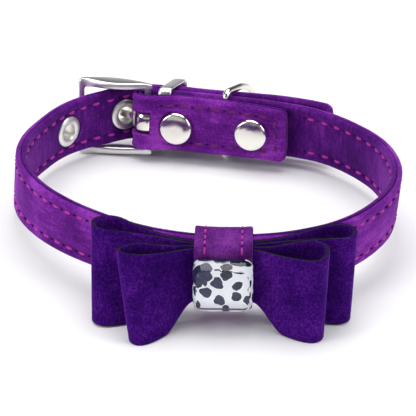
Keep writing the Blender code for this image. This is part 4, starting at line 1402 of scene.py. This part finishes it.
def make_stone():
    """Clear glass with a bevelled crown, and the printed card let into its back."""
    back = STACK_FRONT + BAND_THICK + SEAT_GAP
    layers = (
        (0.00010, back),
        (0.0, back + 0.00010),
        (0.0, back + STONE_GIRDLE - 0.0002),
        (0.00008, back + STONE_GIRDLE),
        (STONE_TABLE_INSET / 3, back + (STONE_GIRDLE + STONE_THICK) / 2),
        (STONE_TABLE_INSET - 0.00015, back + STONE_THICK - 0.00012),
        (STONE_TABLE_INSET + 0.0001, back + STONE_THICK),
    )
    rings = [[KNOT.at(along, out, up) for along, up in stone_outline(inset)] for inset, out in layers]
    new_piece("stone_cut_glass", loft(rings), [GLASS], ["glass_stone"], 18)
    rings = []
    marks = []
    for inset, out in ((0.0004, back + 0.00005), (0.0003, back + 0.0001), (0.0003, back + CARD_THICK)):
        outline = stone_outline(inset)
        rings.append([KNOT.at(along, out, up) for along, up in outline])
        marks.append(outline + [outline[0]])
    new_piece("stone_printed_card", loft(rings, marks=marks), [CARD], smooth_angle=30)


# Stage
def make_stage():
    mesh = bmesh.new()
    bmesh.ops.create_grid(mesh, x_segments=8, y_segments=8, size=FLOOR_HALF)
    floor = added("floor", mesh_data(mesh))
    floor.data.materials.append(FLOOR)
    floor.location.z = -FLOOR_DROP


def aimed(thing, place, toward):
    thing.location = place
    thing.rotation_mode = "QUATERNION"
    thing.rotation_quaternion = toward.to_track_quat("-Z", "Y")


def make_lights():
    for name, width, height, power, place in LIGHTS:
        light = bpy.data.lights.new(name, "AREA")
        light.shape = "RECTANGLE"
        light.size = width
        light.size_y = height
        light.energy = power
        aimed(added(name, light), place, LIGHT_TARGET - Vector(place))


def make_world():
    world = bpy.data.worlds.new("studio")
    world.use_nodes = True
    tree = world.node_tree
    place = tree.nodes.new("ShaderNodeTexCoord")
    parts = tree.nodes.new("ShaderNodeSeparateXYZ")
    shade = tree.nodes.new("ShaderNodeValToRGB")
    set_stops(shade.color_ramp, [(height, (tone, tone, tone)) for height, tone in SKY])
    tree.links.new(place.outputs["Generated"], parts.inputs[0])
    tree.links.new(parts.outputs["Z"], shade.inputs[0])
    background = tree.nodes["Background"]
    tree.links.new(shade.outputs["Color"], background.inputs["Color"])
    background.inputs["Strength"].default_value = 1.0
    bpy.context.scene.world = world


def make_camera():
    rise = math.radians(CAMERA_RISE)
    back = Vector((0.0, -math.cos(rise), math.sin(rise)))
    camera = bpy.data.cameras.new("view")
    camera.sensor_width = 36.0
    camera.lens = CAMERA_LENS
    camera.clip_start = 0.01
    camera.clip_end = 20.0
    thing = added("view", camera)
    aimed(thing, CAMERA_TARGET + back * CAMERA_DISTANCE, -back)
    bpy.context.scene.camera = thing


make_stage()
make_world()
make_camera()
make_lights()
make_strap()
make_stitches()
for k, place in enumerate(eyelet_places()):
    make_eyelet(k + 1, place)
for k, (place, high) in enumerate(RIVET_ROWS):
    make_rivet(k + 1, place, high)
make_buckle_frame()
make_prong()
make_keeper()
make_leash_ring()
make_bow()
make_band()
make_band_stitches()
make_stone()
bpy.context.scene.view_settings.view_transform = "Standard"
